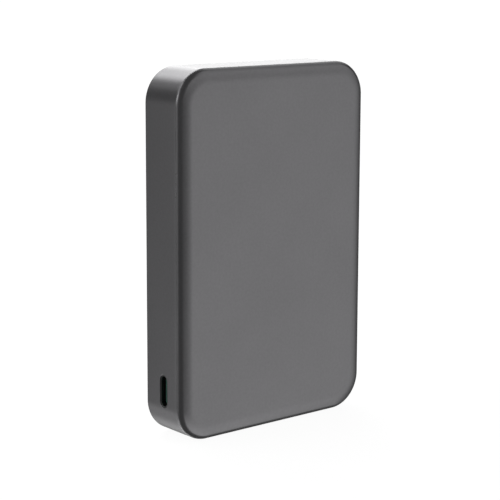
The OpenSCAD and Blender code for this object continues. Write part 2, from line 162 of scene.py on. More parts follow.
def pill_pts(l, w, n=20):
    """Points of a pill in Y and Z about the origin, long along Z."""
    r, h = w / 2, (l - w) / 2
    pts = []
    for i in range(n + 1):
        t = math.pi * i / n
        pts.append((r * math.cos(t), h + r * math.sin(t)))
    for i in range(n + 1):
        t = math.pi + math.pi * i / n
        pts.append((r * math.cos(t), -h + r * math.sin(t)))
    return pts


def pill_rings(profile, cy, cz, n=20):
    """Rings for a pill along X: a list of (x, length, width)."""
    return [[(x, cy + p[0], cz + p[1]) for p in pill_pts(l, w, n)] for x, l, w in profile]


def box_bm(bm, x0, x1, y0, y1, z0, z1, bevel=0.0, seg=2):
    r = bmesh.ops.create_cube(bm, size=1.0)
    vs = r["verts"]
    bmesh.ops.scale(bm, vec=(x1 - x0, y1 - y0, z1 - z0), verts=vs)
    bmesh.ops.translate(bm, vec=((x0 + x1) / 2, (y0 + y1) / 2, (z0 + z1) / 2), verts=vs)
    if bevel > 0:
        es = list({e for v in vs for e in v.link_edges})
        bmesh.ops.bevel(bm, geom=es, offset=bevel, segments=seg, affect="EDGES", profile=0.5)
    return vs


def lathe_bm(bm, profile, centre, axis="y", n=64, a0=0.0, a1=360.0):
    """Turns a closed list of (radius, along) about an axis through centre."""
    full = abs(a1 - a0) >= 359.999
    steps = n if full else n + 1
    rings = []
    for i in range(steps):
        t = math.radians(a0 + (a1 - a0) * i / n)
        ring = []
        for r, h in profile:
            c, s = r * math.cos(t), r * math.sin(t)
            if axis == "y":
                p = (centre[0] + c, h, centre[2] + s)
            elif axis == "x":
                p = (h, centre[1] + c, centre[2] + s)
            else:
                p = (centre[0] + c, centre[1] + s, h)
            ring.append(bm.verts.new(p))
        rings.append(ring)
    m = len(profile)
    for i in range(steps if full else steps - 1):
        a, b = rings[i], rings[(i + 1) % steps]
        for k in range(m):
            j = (k + 1) % m
            bm.faces.new((a[k], b[k], b[j], a[j]))
    if not full:
        bm.faces.new(rings[0])
        bm.faces.new(list(reversed(rings[-1])))
    return rings


def rod_bm(bm, profile, centre, axis="y", n=40):
    """A turned solid from a list of (radius, along), closed at both ends."""
    rings = []
    for r, h in profile:
        ring = []
        for i in range(n):
            t = 2 * math.pi * i / n
            c, s = r * math.cos(t), r * math.sin(t)
            if axis == "y":
                ring.append((centre[0] + c, h, centre[2] + s))
            elif axis == "x":
                ring.append((h, centre[1] + c, centre[2] + s))
            else:
                ring.append((centre[0] + c, centre[1] + s, h))
        rings.append(ring)
    loft(bm, rings)


def cut(ob, bm, name="cutter"):
    """Subtracts a bmesh in millimetres from an object, and applies it."""
    bmesh.ops.recalc_face_normals(bm, faces=bm.faces)
    bmesh.ops.scale(bm, vec=(MM, MM, MM), verts=bm.verts)
    me = bpy.data.meshes.new(name)
    bm.to_mesh(me)
    bm.free()
    c = bpy.data.objects.new(name, me)
    bpy.context.scene.collection.objects.link(c)
    keep = [m for m in ob.modifiers]
    for m in keep:
        ob.modifiers.remove(m)
    mod = ob.modifiers.new("cut", "BOOLEAN")
    mod.operation = "DIFFERENCE"
    mod.solver = "EXACT"
    mod.object = c
    dg = bpy.context.evaluated_depsgraph_get()
    dg.update()
    new = bpy.data.meshes.new_from_object(ob.evaluated_get(dg))
    ob.modifiers.clear()
    old = ob.data
    ob.data = new
    bpy.data.meshes.remove(old)
    bpy.data.objects.remove(c)
    bpy.data.meshes.remove(me)


def add_solids(ob, bm):
    """Adds closed solids, drawn in millimetres, to an object's mesh."""
    bmesh.ops.recalc_face_normals(bm, faces=bm.faces)
    bmesh.ops.scale(bm, vec=(MM, MM, MM), verts=bm.verts)
    bm.from_mesh(ob.data)
    bm.to_mesh(ob.data)
    bm.free()


# ------------------------------------------------------------------ materials
def nodes_of(name):
    m = bpy.data.materials.new(name)
    m.use_nodes = True
    nt = m.node_tree
    b = nt.nodes["Principled BSDF"]
    return m, nt, b


def link(nt, a, b):
    nt.links.new(a, b)


def noise(nt, vec, scale, detail=4.0, rough=0.5, distortion=0.0):
    n = nt.nodes.new("ShaderNodeTexNoise")
    n.inputs["Scale"].default_value = scale
    n.inputs["Detail"].default_value = detail
    n.inputs["Roughness"].default_value = rough
    n.inputs["Distortion"].default_value = distortion
    link(nt, vec, n.inputs["Vector"])
    return n.outputs["Fac"]


def ramp(nt, fac, stops):
    r = nt.nodes.new("ShaderNodeValToRGB")
    while len(r.color_ramp.elements) > 1:
        r.color_ramp.elements.remove(r.color_ramp.elements[-1])
    r.color_ramp.elements[0].position = stops[0][0]
    r.color_ramp.elements[0].color = (*stops[0][1], 1)
    for p, c in stops[1:]:
        e = r.color_ramp.elements.new(p)
        e.color = (*c, 1)
    link(nt, fac, r.inputs["Fac"])
    return r.outputs["Color"]


def maprange(nt, fac, a, b, c, d):
    m = nt.nodes.new("ShaderNodeMapRange")
    m.inputs["From Min"].default_value = a
    m.inputs["From Max"].default_value = b
    m.inputs["To Min"].default_value = c
    m.inputs["To Max"].default_value = d
    link(nt, fac, m.inputs["Value"])
    return m.outputs["Result"]


def mathn(nt, op, a, b=None, clamp=False):
    m = nt.nodes.new("ShaderNodeMath")
    m.operation = op
    m.use_clamp = clamp
    for i, v in enumerate((a, b)):
        if v is None:
            continue
        if isinstance(v, (int, float)):
            m.inputs[i].default_value = v
        else:
            link(nt, v, m.inputs[i])
    return m.outputs[0]


def mixrgb(nt, fac, a, b, mode="MIX"):
    m = nt.nodes.new("ShaderNodeMix")
    m.data_type = "RGBA"
    m.blend_type = mode
    for key, v in (("Factor", fac), ("A", a), ("B", b)):
        sock = m.inputs[0] if key == "Factor" else m.inputs[6 if key == "A" else 7]
        if isinstance(v, (int, float)):
            sock.default_value = v
        elif isinstance(v, tuple):
            sock.default_value = (*v, 1) if len(v) == 3 else v
        else:
            link(nt, v, sock)
    return m.outputs[2]


def bump(nt, height, strength, distance, normal=None):
    b = nt.nodes.new("ShaderNodeBump")
    b.inputs["Strength"].default_value = strength
    b.inputs["Distance"].default_value = distance
    link(nt, height, b.inputs["Height"])
    if normal is not None:
        link(nt, normal, b.inputs["Normal"])
    return b.outputs["Normal"]


def edge_wear(nt, radius=0.0006, lo=0.02, hi=0.12):
    """Bright where the surface turns over a sharp edge, from a rounded normal against the true one."""
    bev = nt.nodes.new("ShaderNodeBevel")
    bev.samples = 4
    bev.inputs["Radius"].default_value = radius
    geo = nt.nodes.new("ShaderNodeNewGeometry")
    dot = nt.nodes.new("ShaderNodeVectorMath")
    dot.operation = "DOT_PRODUCT"
    link(nt, bev.outputs["Normal"], dot.inputs[0])
    link(nt, geo.outputs["Normal"], dot.inputs[1])
    inv = mathn(nt, "SUBTRACT", 1.0, dot.outputs["Value"])
    return maprange(nt, inv, lo, hi, 0.0, 1.0)


def coords(nt):
    t = nt.nodes.new("ShaderNodeTexCoord")
    return t.outputs["Object"]


def satin_shell(name, base, rough=0.40, metallic=0.75, grain=1.0, wear=0.5):
    """A spray-coated moulded shell: very fine grain, faint cloudiness and faint rubbed edges."""
    m, nt, b = nodes_of(name)
    v = coords(nt)
    fine = noise(nt, v, 9000.0, 2.0, 0.55)
    mid = noise(nt, v, 1400.0, 3.0, 0.5)
    cloud = noise(nt, v, 38.0, 4.0, 0.55)
    hand = noise(nt, v, 95.0, 5.0, 0.6, 0.6)
    dark = tuple(c * 0.975 for c in base)
    light = tuple(min(c * 1.025, 1) for c in base)
    col = ramp(nt, cloud, [(0.3, dark), (0.7, light)])
    speck = ramp(nt, mid, [(0.35, (0.97, 0.97, 0.97)), (0.65, (1.03, 1.03, 1.03))])
    col = mixrgb(nt, 1.0, col, speck, "MULTIPLY")
    worn = mathn(nt, "MULTIPLY", edge_wear(nt), maprange(nt, hand, 0.45, 0.62, 0.0, wear), clamp=True)
    col = mixrgb(nt, worn, col, tuple(min(c * 1.5 + 0.02, 1) for c in base))
    link(nt, col, b.inputs["Base Color"])
    b.inputs["Metallic"].default_value = metallic
    r = maprange(nt, hand, 0.3, 0.7, rough - 0.010, rough + 0.012)
    r = mathn(nt, "SUBTRACT", r, mathn(nt, "MULTIPLY", worn, 0.08))
    link(nt, r, b.inputs["Roughness"])
    b.inputs["Specular IOR Level"].default_value = 0.5
    n1 = bump(nt, fine, 0.05 * grain, 0.00002)
    n2 = bump(nt, mid, 0.03 * grain, 0.00004, n1)
    link(nt, n2, b.inputs["Normal"])
    return m


def plastic(name, base, rough=0.45, grain_scale=2500.0, grain=0.1, var=0.08, metallic=0.0, spec=0.5, coat=0.0, rvar=0.06):
    m, nt, b = nodes_of(name)
    v = coords(nt)
    f = noise(nt, v, grain_scale, 3.0, 0.55)
    c = noise(nt, v, grain_scale / 40.0, 4.0, 0.55)
    col = ramp(nt, c, [(0.3, tuple(x * (1 - var) for x in base)), (0.7, tuple(min(x * (1 + var), 1) for x in base))])
    link(nt, col, b.inputs["Base Color"])
    b.inputs["Metallic"].default_value = metallic
    b.inputs["Specular IOR Level"].default_value = spec
    b.inputs["Coat Weight"].default_value = coat
    link(nt, maprange(nt, c, 0.3, 0.7, rough - rvar, rough + rvar), b.inputs["Roughness"])
    link(nt, bump(nt, f, grain, 0.00003), b.inputs["Normal"])
    return m


def assign(ob, mat):
    ob.data.materials.clear()
    ob.data.materials.append(mat)


MAT = {}
# The front cover and the side band share one coating, but the front's copy is a little lighter and the band's a little
# darker: painted light on the face and painted shade on the side.
MAT["shell_front"] = satin_shell("coated_front_painted_lighter", (0.190, 0.188, 0.194), rough=0.30, metallic=0.92)
MAT["shell_band"] = satin_shell("coated_band_painted_darker", (0.185, 0.183, 0.189), rough=0.30, metallic=0.92)
MAT["shell_rear"] = satin_shell("moulded_rear", (0.160, 0.160, 0.165), rough=0.46, metallic=0.45)


# ------------------------------------------------------------------ front cover
def nose_profile(i0, y0, r, w, n=22, m=22):
    """The front edge: an arc, then a parabola that meets the face flush."""
    out = []
    for k in range(n + 1):
        t = NA0 + (NA1 - NA0) * k / n
        out.append((i0 + r * (math.cos(NA0) - math.cos(t)), y0 - r * (math.sin(t) - math.sin(NA0))))
    x1, y1 = out[-1]
    for k in range(1, m + 1):
        u = k / m
        out.append((x1 + w * u, y1 - w / math.tan(NA1) * (u - u * u / 2)))
    return out


def build_front_cover():
    q = 0.10                                       # micro rounding at the seam
    outer = nose_profile(0, YS, NR, NRUN)
    # swap the first points for a small round at the seam edge
    seam = [(q + 0.02, YS), (q * 0.62, YS - q * 0.08), (q * 0.35, YS - q * 0.38), (q * 0.27, YS - q)]
    outer = seam + [p for p in outer if p[1] < YS - q * 1.6]
    flat = [(NX + 0.35, YF), (NX + 1.2, YF), (NX + 2.6, YF)]
    w = 1.4
    inner_flat = [(NX + 2.5, YF + w), (2.9, YF + w)]
    inner = [(2.4, YF + w), (2.12, YF + w + 0.02), (1.84, YF + w + 0.07), (1.6, YF + w + 0.16), (1.5, YF + w + 0.3)]
    lip = [(1.5, YS + 0.85), (1.35, YS + 1.0), (1.0, YS + 1.0), (0.85, YS + 0.85), (0.85, YS)]
    prof = list(reversed(flat)) + list(reversed(outer)) + list(reversed(lip)) + list(reversed(inner)) + list(reversed(inner_flat))
    bm = bmesh.new()
    loft(bm, slab_rings(prof))
    ob = new_object("front_cover_shell", bm, smooth=False)
    bm = bmesh.new()
    # snap hooks on the sides and ends
    for z in (38, 62, 86):
        for s in (-1, 1):
            xs = sorted((s * (HX - 2.4), s * (HX - 1.7)))
            box_bm(bm, xs[0], xs[1], YS - 0.9, YS + 3.2, z - 3, z + 3, 0.12)
            xs = sorted((s * (HX - 1.8), s * (HX - 1.3)))
            box_bm(bm, xs[0], xs[1], YS + 2.1, YS + 2.8, z - 3, z + 3, 0.1)
    for x in (-13, 13):
        for s in (0, 1):
            z0, z1 = (1.7, 2.4) if s == 0 else (HZ - 2.4, HZ - 1.7)
            box_bm(bm, x - 3, x + 3, YS - 0.9, YS + 3.2, z0, z1, 0.12)
            z0, z1 = (1.3, 1.8) if s == 0 else (HZ - 1.8, HZ - 1.3)
            box_bm(bm, x - 3, x + 3, YS + 2.1, YS + 2.8, z0, z1, 0.1)
    # screw bosses with blind bores
    for x in (-BX, BX):
        for z in BZ:
            lathe_bm(bm, [(0.85, WEB0 - 9.0), (0.0001, WEB0 - 9.0), (0.0001, YF + 1.3), (2.0, YF + 1.3), (2.0, WEB0 - 0.25), (1.85, WEB0 - 0.1), (1.0, WEB0 - 0.1), (0.85, WEB0 - 0.25)], (x, 0, z), "y", 40)
    for x in (-20, 20):
        box_bm(bm, x - 0.5, x + 0.5, YF + 1.2, YF + 3.4, 3.5, 25.5, 0.15)
    add_solids(ob, bm)
    shade(ob, 28)
    assign(ob, MAT["shell_front"])
    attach(ob, "casing")
    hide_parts("front_cover")
    return ob


# ------------------------------------------------------------------ side band
def flared_pill(bm, x_in, x_face, l, w, cy, cz, side, round_r=0.18, n=20):
    """A cutter for a slot in a side wall, whose mouth is rounded outwards."""
    prof = [(x_in, l, w)]
    for i in range(6):
        t = math.radians(90 * i / 5)
        prof.append((x_face - side * round_r * (1 - math.sin(t)), l + 2 * round_r * (1 - math.cos(t)), w + 2 * round_r * (1 - math.cos(t))))
    prof.append((x_face + side * 0.6, l + 2 * round_r, w + 2 * round_r))
    loft(bm, pill_rings(prof, cy, cz, n))


def flared_hole(bm, x_in, x_face, d, cy, cz, side, round_r=0.1, n=32):
    prof = [(d / 2, x_in)]
    for i in range(5):
        t = math.radians(90 * i / 4)
        prof.append((d / 2 + round_r * (1 - math.cos(t)), x_face - side * round_r * (1 - math.sin(t))))
    prof.append((d / 2 + round_r, x_face + side * 0.6))
    rod_bm(bm, prof, (0, cy, cz), "x", n)


def build_side_frame():
    q = 0.12
    fwall = 1.6
    seam = [(0.8, YS + 0.0), (q, YS), (q * 0.55, YS + q * 0.08), (q * 0.18, YS + q * 0.38), (0.0, YS + q)]
    body = [(0.0, YS + 1.2), (0.0, (YS + YR) / 2), (0.0, YR - 1.6)]
    rr = 0.6
    rear = [(rr * (1 - math.cos(math.radians(a))), YR - rr + rr * math.sin(math.radians(a))) for a in range(0, 91, 9)]
    rim = [(fwall - 0.15, YR), (fwall - 0.04, YR - 0.04), (fwall, YR - 0.15), (fwall, LEDGE), (3.2, LEDGE), (3.2, WEB1), (3.6, WEB1)]
    inside = [(3.4, WEB0), (fwall, WEB0), (fwall, YS + 1.05), (0.8, YS + 1.05)]
    prof = list(reversed(rim)) + list(reversed(rear)) + list(reversed(body)) + list(reversed(seam)) + list(reversed(inside))
    bm = bmesh.new()
    loft(bm, slab_rings(prof))
    ob = new_object("side_band", bm, smooth=False)
    # bosses on the inner wall
    c = bmesh.new()
    holes = ((-21.3, 5.4), (21.3, 5.4), (-19, 25.6), (17.5, 25.6))
    flared_pill(c, -HX + 3.0, -HX, 9.1, 3.32, PY, PZ, -1, 0.16)
    flared_pill(c, HX - 3.0, HX, 9.2, 3.6, PY, PZ, 1, 0.14)
    for i in range(4):
        z = (guide_lo.z / MM + 1.2) + i * ((guide_hi.z - guide_lo.z) / MM - 2.4) / 3
        flared_hole(c, HX - 3.0, HX, 1.3, PY, z, 1, 0.05)
    for x in (-BX, BX):
        for z in BZ:
            rod_bm(c, [(0.9, WEB0 - 1), (0.9, WEB1 + 2)], (x, 0, z), "y", 32)
    hw = HX - 2.45
    for p in ((-hw, 25), (hw, 25), (-hw, 52), (hw, 52), (-hw, 80), (hw, 80)):
        rod_bm(c, [(0.65, LEDGE - 1.2), (0.65, LEDGE + 1)], (p[0], 0, p[1]), "y", 24)
    cut(ob, c)
    c = bmesh.new()
    loft(c, [[(x, y, z) for x, z in outline(0, r=1.2, hw=4.7, hh=1.3, zc=29.2, n=8, m=1)] for y in (WEB0 - 1, WEB1 + 1)])
    for v in c.verts:
        v.co.x += 2.6
    for px in (-12, 0, 12):
        c2 = bmesh.new()
        loft(c2, [[(x + px, y, z) for x, z in outline(0, r=2, hw=4, hh=5, zc=12, n=8, m=1)] for y in (WEB0 - 1, WEB1 + 1)])
        me = bpy.data.meshes.new("tmp")
        c2.to_mesh(me)
        c2.free()
        c.from_mesh(me)
        bpy.data.meshes.remove(me)
    for z in (38, 62, 86):
        for s in (-1, 1):
            xs = sorted((s * (HX - 2.0), s * (HX - 1.15)))
            box_bm(c, xs[0], xs[1], YS + 2, YS + 2.95, z - 3.3, z + 3.3)
    for x in (-13, 13):
        for z0, z1 in ((1.15, 2.0), (HZ - 2.0, HZ - 1.15)):
            box_bm(c, x - 3.3, x + 3.3, YS + 2, YS + 2.95, z0, z1)
    cut(ob, c)
    bm = bmesh.new()
    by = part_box("main_board")[1].y / MM + 0.02
    for x, z in holes:
        lathe_bm(bm, [(0.85, by + 0.1), (0.85, WEB0 - 0.2), (0.0001, WEB0 - 0.2), (0.0001, WEB0 + 0.1), (1.9, WEB0 + 0.1), (1.9, by + 0.15), (1.75, by), (0.95, by)], (x, 0, z), "y", 36)
    for x in (-BX, BX):
        for z in BZ:
            lathe_bm(bm, [(0.9, WEB0 + 0.02), (2.8, WEB0 + 0.02), (2.8, WEB1 + 0.5), (2.7, WEB1 + 0.6), (1.0, WEB1 + 0.6), (0.9, WEB1 + 0.5)], (x, 0, z), "y", 44)
    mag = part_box("magnet_ring")
    ro = (mag[1].x - mag[0].x) / 2 / MM
    lathe_bm(bm, [(ro + 0.4, WEB1 - 0.1), (ro + 1.2, WEB1 - 0.1), (ro + 1.2, WEB1 + 1.0), (ro + 1.1, WEB1 + 1.1), (ro + 0.5, WEB1 + 1.1), (ro + 0.4, WEB1 + 1.0)], (0, 0, COIL_Z), "y", 120, -65, 245)
    for z in (34, 58, 82):
        for s in (-1, 1):
            xs = sorted((s * (HX - 3.8), s * (HX - 1.5)))
            box_bm(bm, xs[0], xs[1], WEB0 - 1.6, WEB0 + 0.1, z, z + 1, 0.1)
    add_solids(ob, bm)
    shade(ob, 28)
    assign(ob, MAT["shell_band"])
    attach(ob, "casing")
    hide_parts("side_frame")
    return ob


front = build_front_cover()
band = build_side_frame()

# ------------------------------------------------------------------ materials for the other parts
def sep_swizzle(nt, order, scale):
    """Object coordinates in millimetres times scale, with two chosen axes first."""
    s = nt.nodes.new("ShaderNodeSeparateXYZ")
    link(nt, coords(nt), s.inputs[0])
    c = nt.nodes.new("ShaderNodeCombineXYZ")
    for i, ax in enumerate(order):
        link(nt, mathn(nt, "MULTIPLY", s.outputs["XYZ".index(ax)], 1000.0 * scale), c.inputs[i])
    return c.outputs[0]


def rubber(name, base, rough=0.72, grain=0.25, scale=5200.0, sheen=0.3):
    m, nt, b = nodes_of(name)
    v = coords(nt)
    f = noise(nt, v, scale, 3.0, 0.6)
    c = noise(nt, v, 160.0, 4.0, 0.6)
    col = ramp(nt, c, [(0.3, tuple(x * 0.86 for x in base)), (0.72, tuple(min(x * 1.16, 1) for x in base))])
    worn = mathn(nt, "MULTIPLY", edge_wear(nt, 0.0004), maprange(nt, c, 0.4, 0.65, 0.0, 0.45), clamp=True)
    link(nt, mixrgb(nt, worn, col, tuple(min(x * 2.0 + 0.01, 1) for x in base)), b.inputs["Base Color"])
    link(nt, maprange(nt, c, 0.3, 0.7, rough - 0.05, min(rough + 0.08, 1)), b.inputs["Roughness"])
    b.inputs["Sheen Weight"].default_value = sheen
    b.inputs["Sheen Roughness"].default_value = 0.5
    b.inputs["Specular IOR Level"].default_value = 0.35
    link(nt, bump(nt, f, grain, 0.00003), b.inputs["Normal"])
    return m


def metal(name, base, rough=0.3, axes="XZY", stretch=14.0, scratch=0.12, var=0.08, tarnish=None):
    """Metal with a fine drawn grain along the first axis, uneven polish, and worn edges."""
    m, nt, b = nodes_of(name)
    v = coords(nt)
    s = sep_swizzle(nt, axes, 1.0)
    mp = nt.nodes.new("ShaderNodeMapping")
    mp.inputs["Scale"].default_value = (1.0, stretch, stretch)
    link(nt, s, mp.inputs["Vector"])
    grain = noise(nt, mp.outputs[0], 1.6, 5.0, 0.65)
    cloud = noise(nt, v, 240.0, 4.0, 0.6)
    col = ramp(nt, cloud, [(0.28, tuple(x * (1 - var) for x in base)), (0.7, tuple(min(x * (1 + var), 1) for x in base))])
    if tarnish:
        col = mixrgb(nt, maprange(nt, noise(nt, v, 620.0, 5.0, 0.65), 0.56, 0.74, 0.0, 0.6), col, tarnish)
    w = edge_wear(nt, 0.00012, 0.03, 0.2)
    col = mixrgb(nt, mathn(nt, "MULTIPLY", w, 0.35), col, tuple(min(x * 1.3 + 0.05, 1) for x in base))
    link(nt, col, b.inputs["Base Color"])
    b.inputs["Metallic"].default_value = 1.0
    link(nt, maprange(nt, grain, 0.25, 0.75, max(rough - 0.09, 0.05), rough + 0.11), b.inputs["Roughness"])
    link(nt, bump(nt, grain, scratch, 0.00002), b.inputs["Normal"])
    return m


def resin(name, base, rough=0.5, flow=0.1, fleck=(0.3, 0.3, 0.3), fleck_amount=0.05, coat=0.0):
    """Moulding compound: matte body, tiny filler flecks and a slightly uneven skin."""
    m, nt, b = nodes_of(name)
    v = coords(nt)
    c = noise(nt, v, 420.0, 4.0, 0.6)
    f = noise(nt, v, 6500.0, 2.0, 0.6)
    col = ramp(nt, c, [(0.3, tuple(x * 0.85 for x in base)), (0.7, tuple(min(x * 1.2, 1) for x in base))])
    col = mixrgb(nt, maprange(nt, f, 0.66, 0.78, 0.0, fleck_amount * 6), col, fleck)
    link(nt, col, b.inputs["Base Color"])
    link(nt, maprange(nt, f, 0.3, 0.7, rough - 0.07, rough + 0.07), b.inputs["Roughness"])
    b.inputs["Coat Weight"].default_value = coat
    b.inputs["Coat Roughness"].default_value = 0.15
    n1 = bump(nt, f, 0.18, 0.00002)
    link(nt, bump(nt, c, flow, 0.0001, n1), b.inputs["Normal"])
    return m


def board_mask(name, base, axes):
    """Solder mask over copper: tracks, plated vias whose bores are painted near-black as shade, and a soft gloss."""
    m, nt, b = nodes_of(name)
    s = sep_swizzle(nt, axes, 1.0)
    br = nt.nodes.new("ShaderNodeTexBrick")
    br.offset = 0.37
    br.squash = 0.7
    br.squash_frequency = 3
    br.inputs["Scale"].default_value = 1.0
    br.inputs["Mortar Size"].default_value = 0.085
    br.inputs["Mortar Smooth"].default_value = 0.25
    br.inputs["Brick Width"].default_value = 4.3
    br.inputs["Row Height"].default_value = 0.92
    link(nt, s, br.inputs["Vector"])
    vo = nt.nodes.new("ShaderNodeTexVoronoi")
    vo.inputs["Scale"].default_value = 0.42
    vo.inputs["Randomness"].default_value = 0.85
    link(nt, s, vo.inputs["Vector"])
    ring = maprange(nt, vo.outputs["Distance"], 0.11, 0.125, 1.0, 0.0)
    # hole paints each via's bore as a near-black dot: painted shade for a hole that is not cut.
    hole = maprange(nt, vo.outputs["Distance"], 0.05, 0.06, 1.0, 0.0)
    cloud = noise(nt, coords(nt), 300.0, 4.0, 0.6)
    mask = ramp(nt, cloud, [(0.3, tuple(x * 0.85 for x in base)), (0.7, tuple(x * 1.15 for x in base))])
    track = tuple(min(x * 2.1 + 0.012, 1) for x in base)
    col = mixrgb(nt, mathn(nt, "MULTIPLY", br.outputs["Fac"], 0.85), mask, track)
    col = mixrgb(nt, ring, col, (0.62, 0.46, 0.22))
    col = mixrgb(nt, hole, col, (0.01, 0.012, 0.01))
    link(nt, col, b.inputs["Base Color"])
    link(nt, mathn(nt, "MULTIPLY", ring, 0.9), b.inputs["Metallic"])
    link(nt, maprange(nt, cloud, 0.3, 0.7, 0.26, 0.38), b.inputs["Roughness"])
    b.inputs["Coat Weight"].default_value = 0.3
    b.inputs["Coat Roughness"].default_value = 0.18
    h = mathn(nt, "ADD", br.outputs["Fac"], mathn(nt, "MULTIPLY", hole, -1.5))
    link(nt, bump(nt, h, 0.35, 0.00004), b.inputs["Normal"])
    return m


def foil(name, base):
    """Laminated pouch foil: bright, faintly wrinkled and pressed by the stack."""
    m, nt, b = nodes_of(name)
    v = coords(nt)
    big = noise(nt, v, 70.0, 3.0, 0.5, 0.8)
    fold = noise(nt, v, 260.0, 4.0, 0.6, 1.6)
    fine = noise(nt, v, 2600.0, 3.0, 0.6)
    col = ramp(nt, big, [(0.3, tuple(x * 0.92 for x in base)), (0.7, tuple(min(x * 1.05, 1) for x in base))])
    link(nt, col, b.inputs["Base Color"])
    b.inputs["Metallic"].default_value = 0.92
    link(nt, maprange(nt, fold, 0.3, 0.7, 0.24, 0.42), b.inputs["Roughness"])
    n1 = bump(nt, fine, 0.08, 0.00002)
    n2 = bump(nt, fold, 0.30, 0.0001, n1)
    link(nt, bump(nt, big, 0.25, 0.0006, n2), b.inputs["Normal"])
    return m


def open_foam(name, base):
    m, nt, b = nodes_of(name)
    vo = nt.nodes.new("ShaderNodeTexVoronoi")
    vo.inputs["Scale"].default_value = 3800.0
    link(nt, coords(nt), vo.inputs["Vector"])
    c = noise(nt, coords(nt), 200.0, 4.0, 0.6)
    pore_shade_and_depth = maprange(nt, vo.outputs["Distance"], 0.15, 0.6, 0.0, 1.0)
    # The pores are painted darker and the cell walls lighter: painted shade in the pores, which the bump also sinks.
    col = mixrgb(nt, pore_shade_and_depth, tuple(x * 1.35 for x in base), tuple(x * 0.35 for x in base))
    col = mixrgb(nt, maprange(nt, c, 0.35, 0.7, 0.0, 0.35), col, tuple(min(x * 1.7, 1) for x in base))
    link(nt, col, b.inputs["Base Color"])
    b.inputs["Roughness"].default_value = 0.95
    b.inputs["Specular IOR Level"].default_value = 0.15
    link(nt, bump(nt, mathn(nt, "SUBTRACT", 1.0, pore_shade_and_depth), 0.9, 0.0001), b.inputs["Normal"])
    return m


def sheet(name, base, rough, axes="XZY", fibre=1.0, coat=0.0, metallic=0.0, stretch=6.0):
    """Thin sheet goods: fibres or rolling streaks along one way, faint handling marks."""
    m, nt, b = nodes_of(name)
    mp = nt.nodes.new("ShaderNodeMapping")
    mp.inputs["Scale"].default_value = (1.0, stretch, stretch)
    link(nt, sep_swizzle(nt, axes, 1.0), mp.inputs["Vector"])
    f = noise(nt, mp.outputs[0], 0.9, 6.0, 0.68, 0.4)
    c = noise(nt, coords(nt), 90.0, 4.0, 0.6)
    col = ramp(nt, f, [(0.25, tuple(x * 0.82 for x in base)), (0.75, tuple(min(x * 1.12, 1) for x in base))])
    col = mixrgb(nt, maprange(nt, c, 0.4, 0.75, 0.0, 0.3), col, tuple(min(x * 1.25, 1) for x in base))
    link(nt, col, b.inputs["Base Color"])
    b.inputs["Metallic"].default_value = metallic
    link(nt, maprange(nt, f, 0.3, 0.7, rough - 0.07, min(rough + 0.08, 1)), b.inputs["Roughness"])
    b.inputs["Coat Weight"].default_value = coat
    b.inputs["Coat Roughness"].default_value = 0.12
    link(nt, bump(nt, f, 0.25 * fibre, 0.00004), b.inputs["Normal"])
    return m


def cracked_ferrite(name, base):
    """Flexible ferrite: a sheet cut into small tiles under a thin film."""
    m, nt, b = nodes_of(name)
    br = nt.nodes.new("ShaderNodeTexBrick")
    br.offset = 0.0
    br.inputs["Scale"].default_value = 1.0
    br.inputs["Mortar Size"].default_value = 0.045
    br.inputs["Mortar Smooth"].default_value = 0.1
    br.inputs["Brick Width"].default_value = 2.0
    br.inputs["Row Height"].default_value = 2.0
    link(nt, sep_swizzle(nt, "XZY", 1.0), br.inputs["Vector"])
    c = noise(nt, coords(nt), 500.0, 5.0, 0.6)
    col = ramp(nt, c, [(0.3, tuple(x * 0.8 for x in base)), (0.7, tuple(x * 1.4 for x in base))])
    col = mixrgb(nt, br.outputs["Fac"], col, (0.006, 0.006, 0.006))
    link(nt, col, b.inputs["Base Color"])
    link(nt, maprange(nt, c, 0.3, 0.7, 0.34, 0.5), b.inputs["Roughness"])
    b.inputs["Coat Weight"].default_value = 0.25
    link(nt, bump(nt, mathn(nt, "SUBTRACT", 1.0, br.outputs["Fac"]), 0.5, 0.00005), b.inputs["Normal"])
    return m


def litz(name, base):
    """Bundled enamelled copper: strands wound round the wire, from the wire's own lengthwise map."""
    m, nt, b = nodes_of(name)
    uv = nt.nodes.new("ShaderNodeUVMap")
    uv.uv_map = "wire"
    s = nt.nodes.new("ShaderNodeSeparateXYZ")
    link(nt, uv.outputs[0], s.inputs[0])
    ph = mathn(nt, "ADD", mathn(nt, "MULTIPLY", s.outputs[0], 1.15), mathn(nt, "MULTIPLY", s.outputs[1], 7.0))
    w = mathn(nt, "ABSOLUTE", mathn(nt, "SINE", mathn(nt, "MULTIPLY", ph, math.pi)))
    c = noise(nt, coords(nt), 900.0, 4.0, 0.6)
    col = mixrgb(nt, w, tuple(x * 0.45 for x in base), tuple(min(x * 1.15, 1) for x in base))
    col = mixrgb(nt, maprange(nt, c, 0.35, 0.7, 0.0, 0.35), col, (0.70, 0.33, 0.12))
    link(nt, col, b.inputs["Base Color"])
    b.inputs["Metallic"].default_value = 0.95
    link(nt, maprange(nt, w, 0.0, 1.0, 0.42, 0.26), b.inputs["Roughness"])
    b.inputs["Coat Weight"].default_value = 0.35
    b.inputs["Coat Roughness"].default_value = 0.2
    link(nt, bump(nt, w, 0.8, 0.00009), b.inputs["Normal"])
    return m


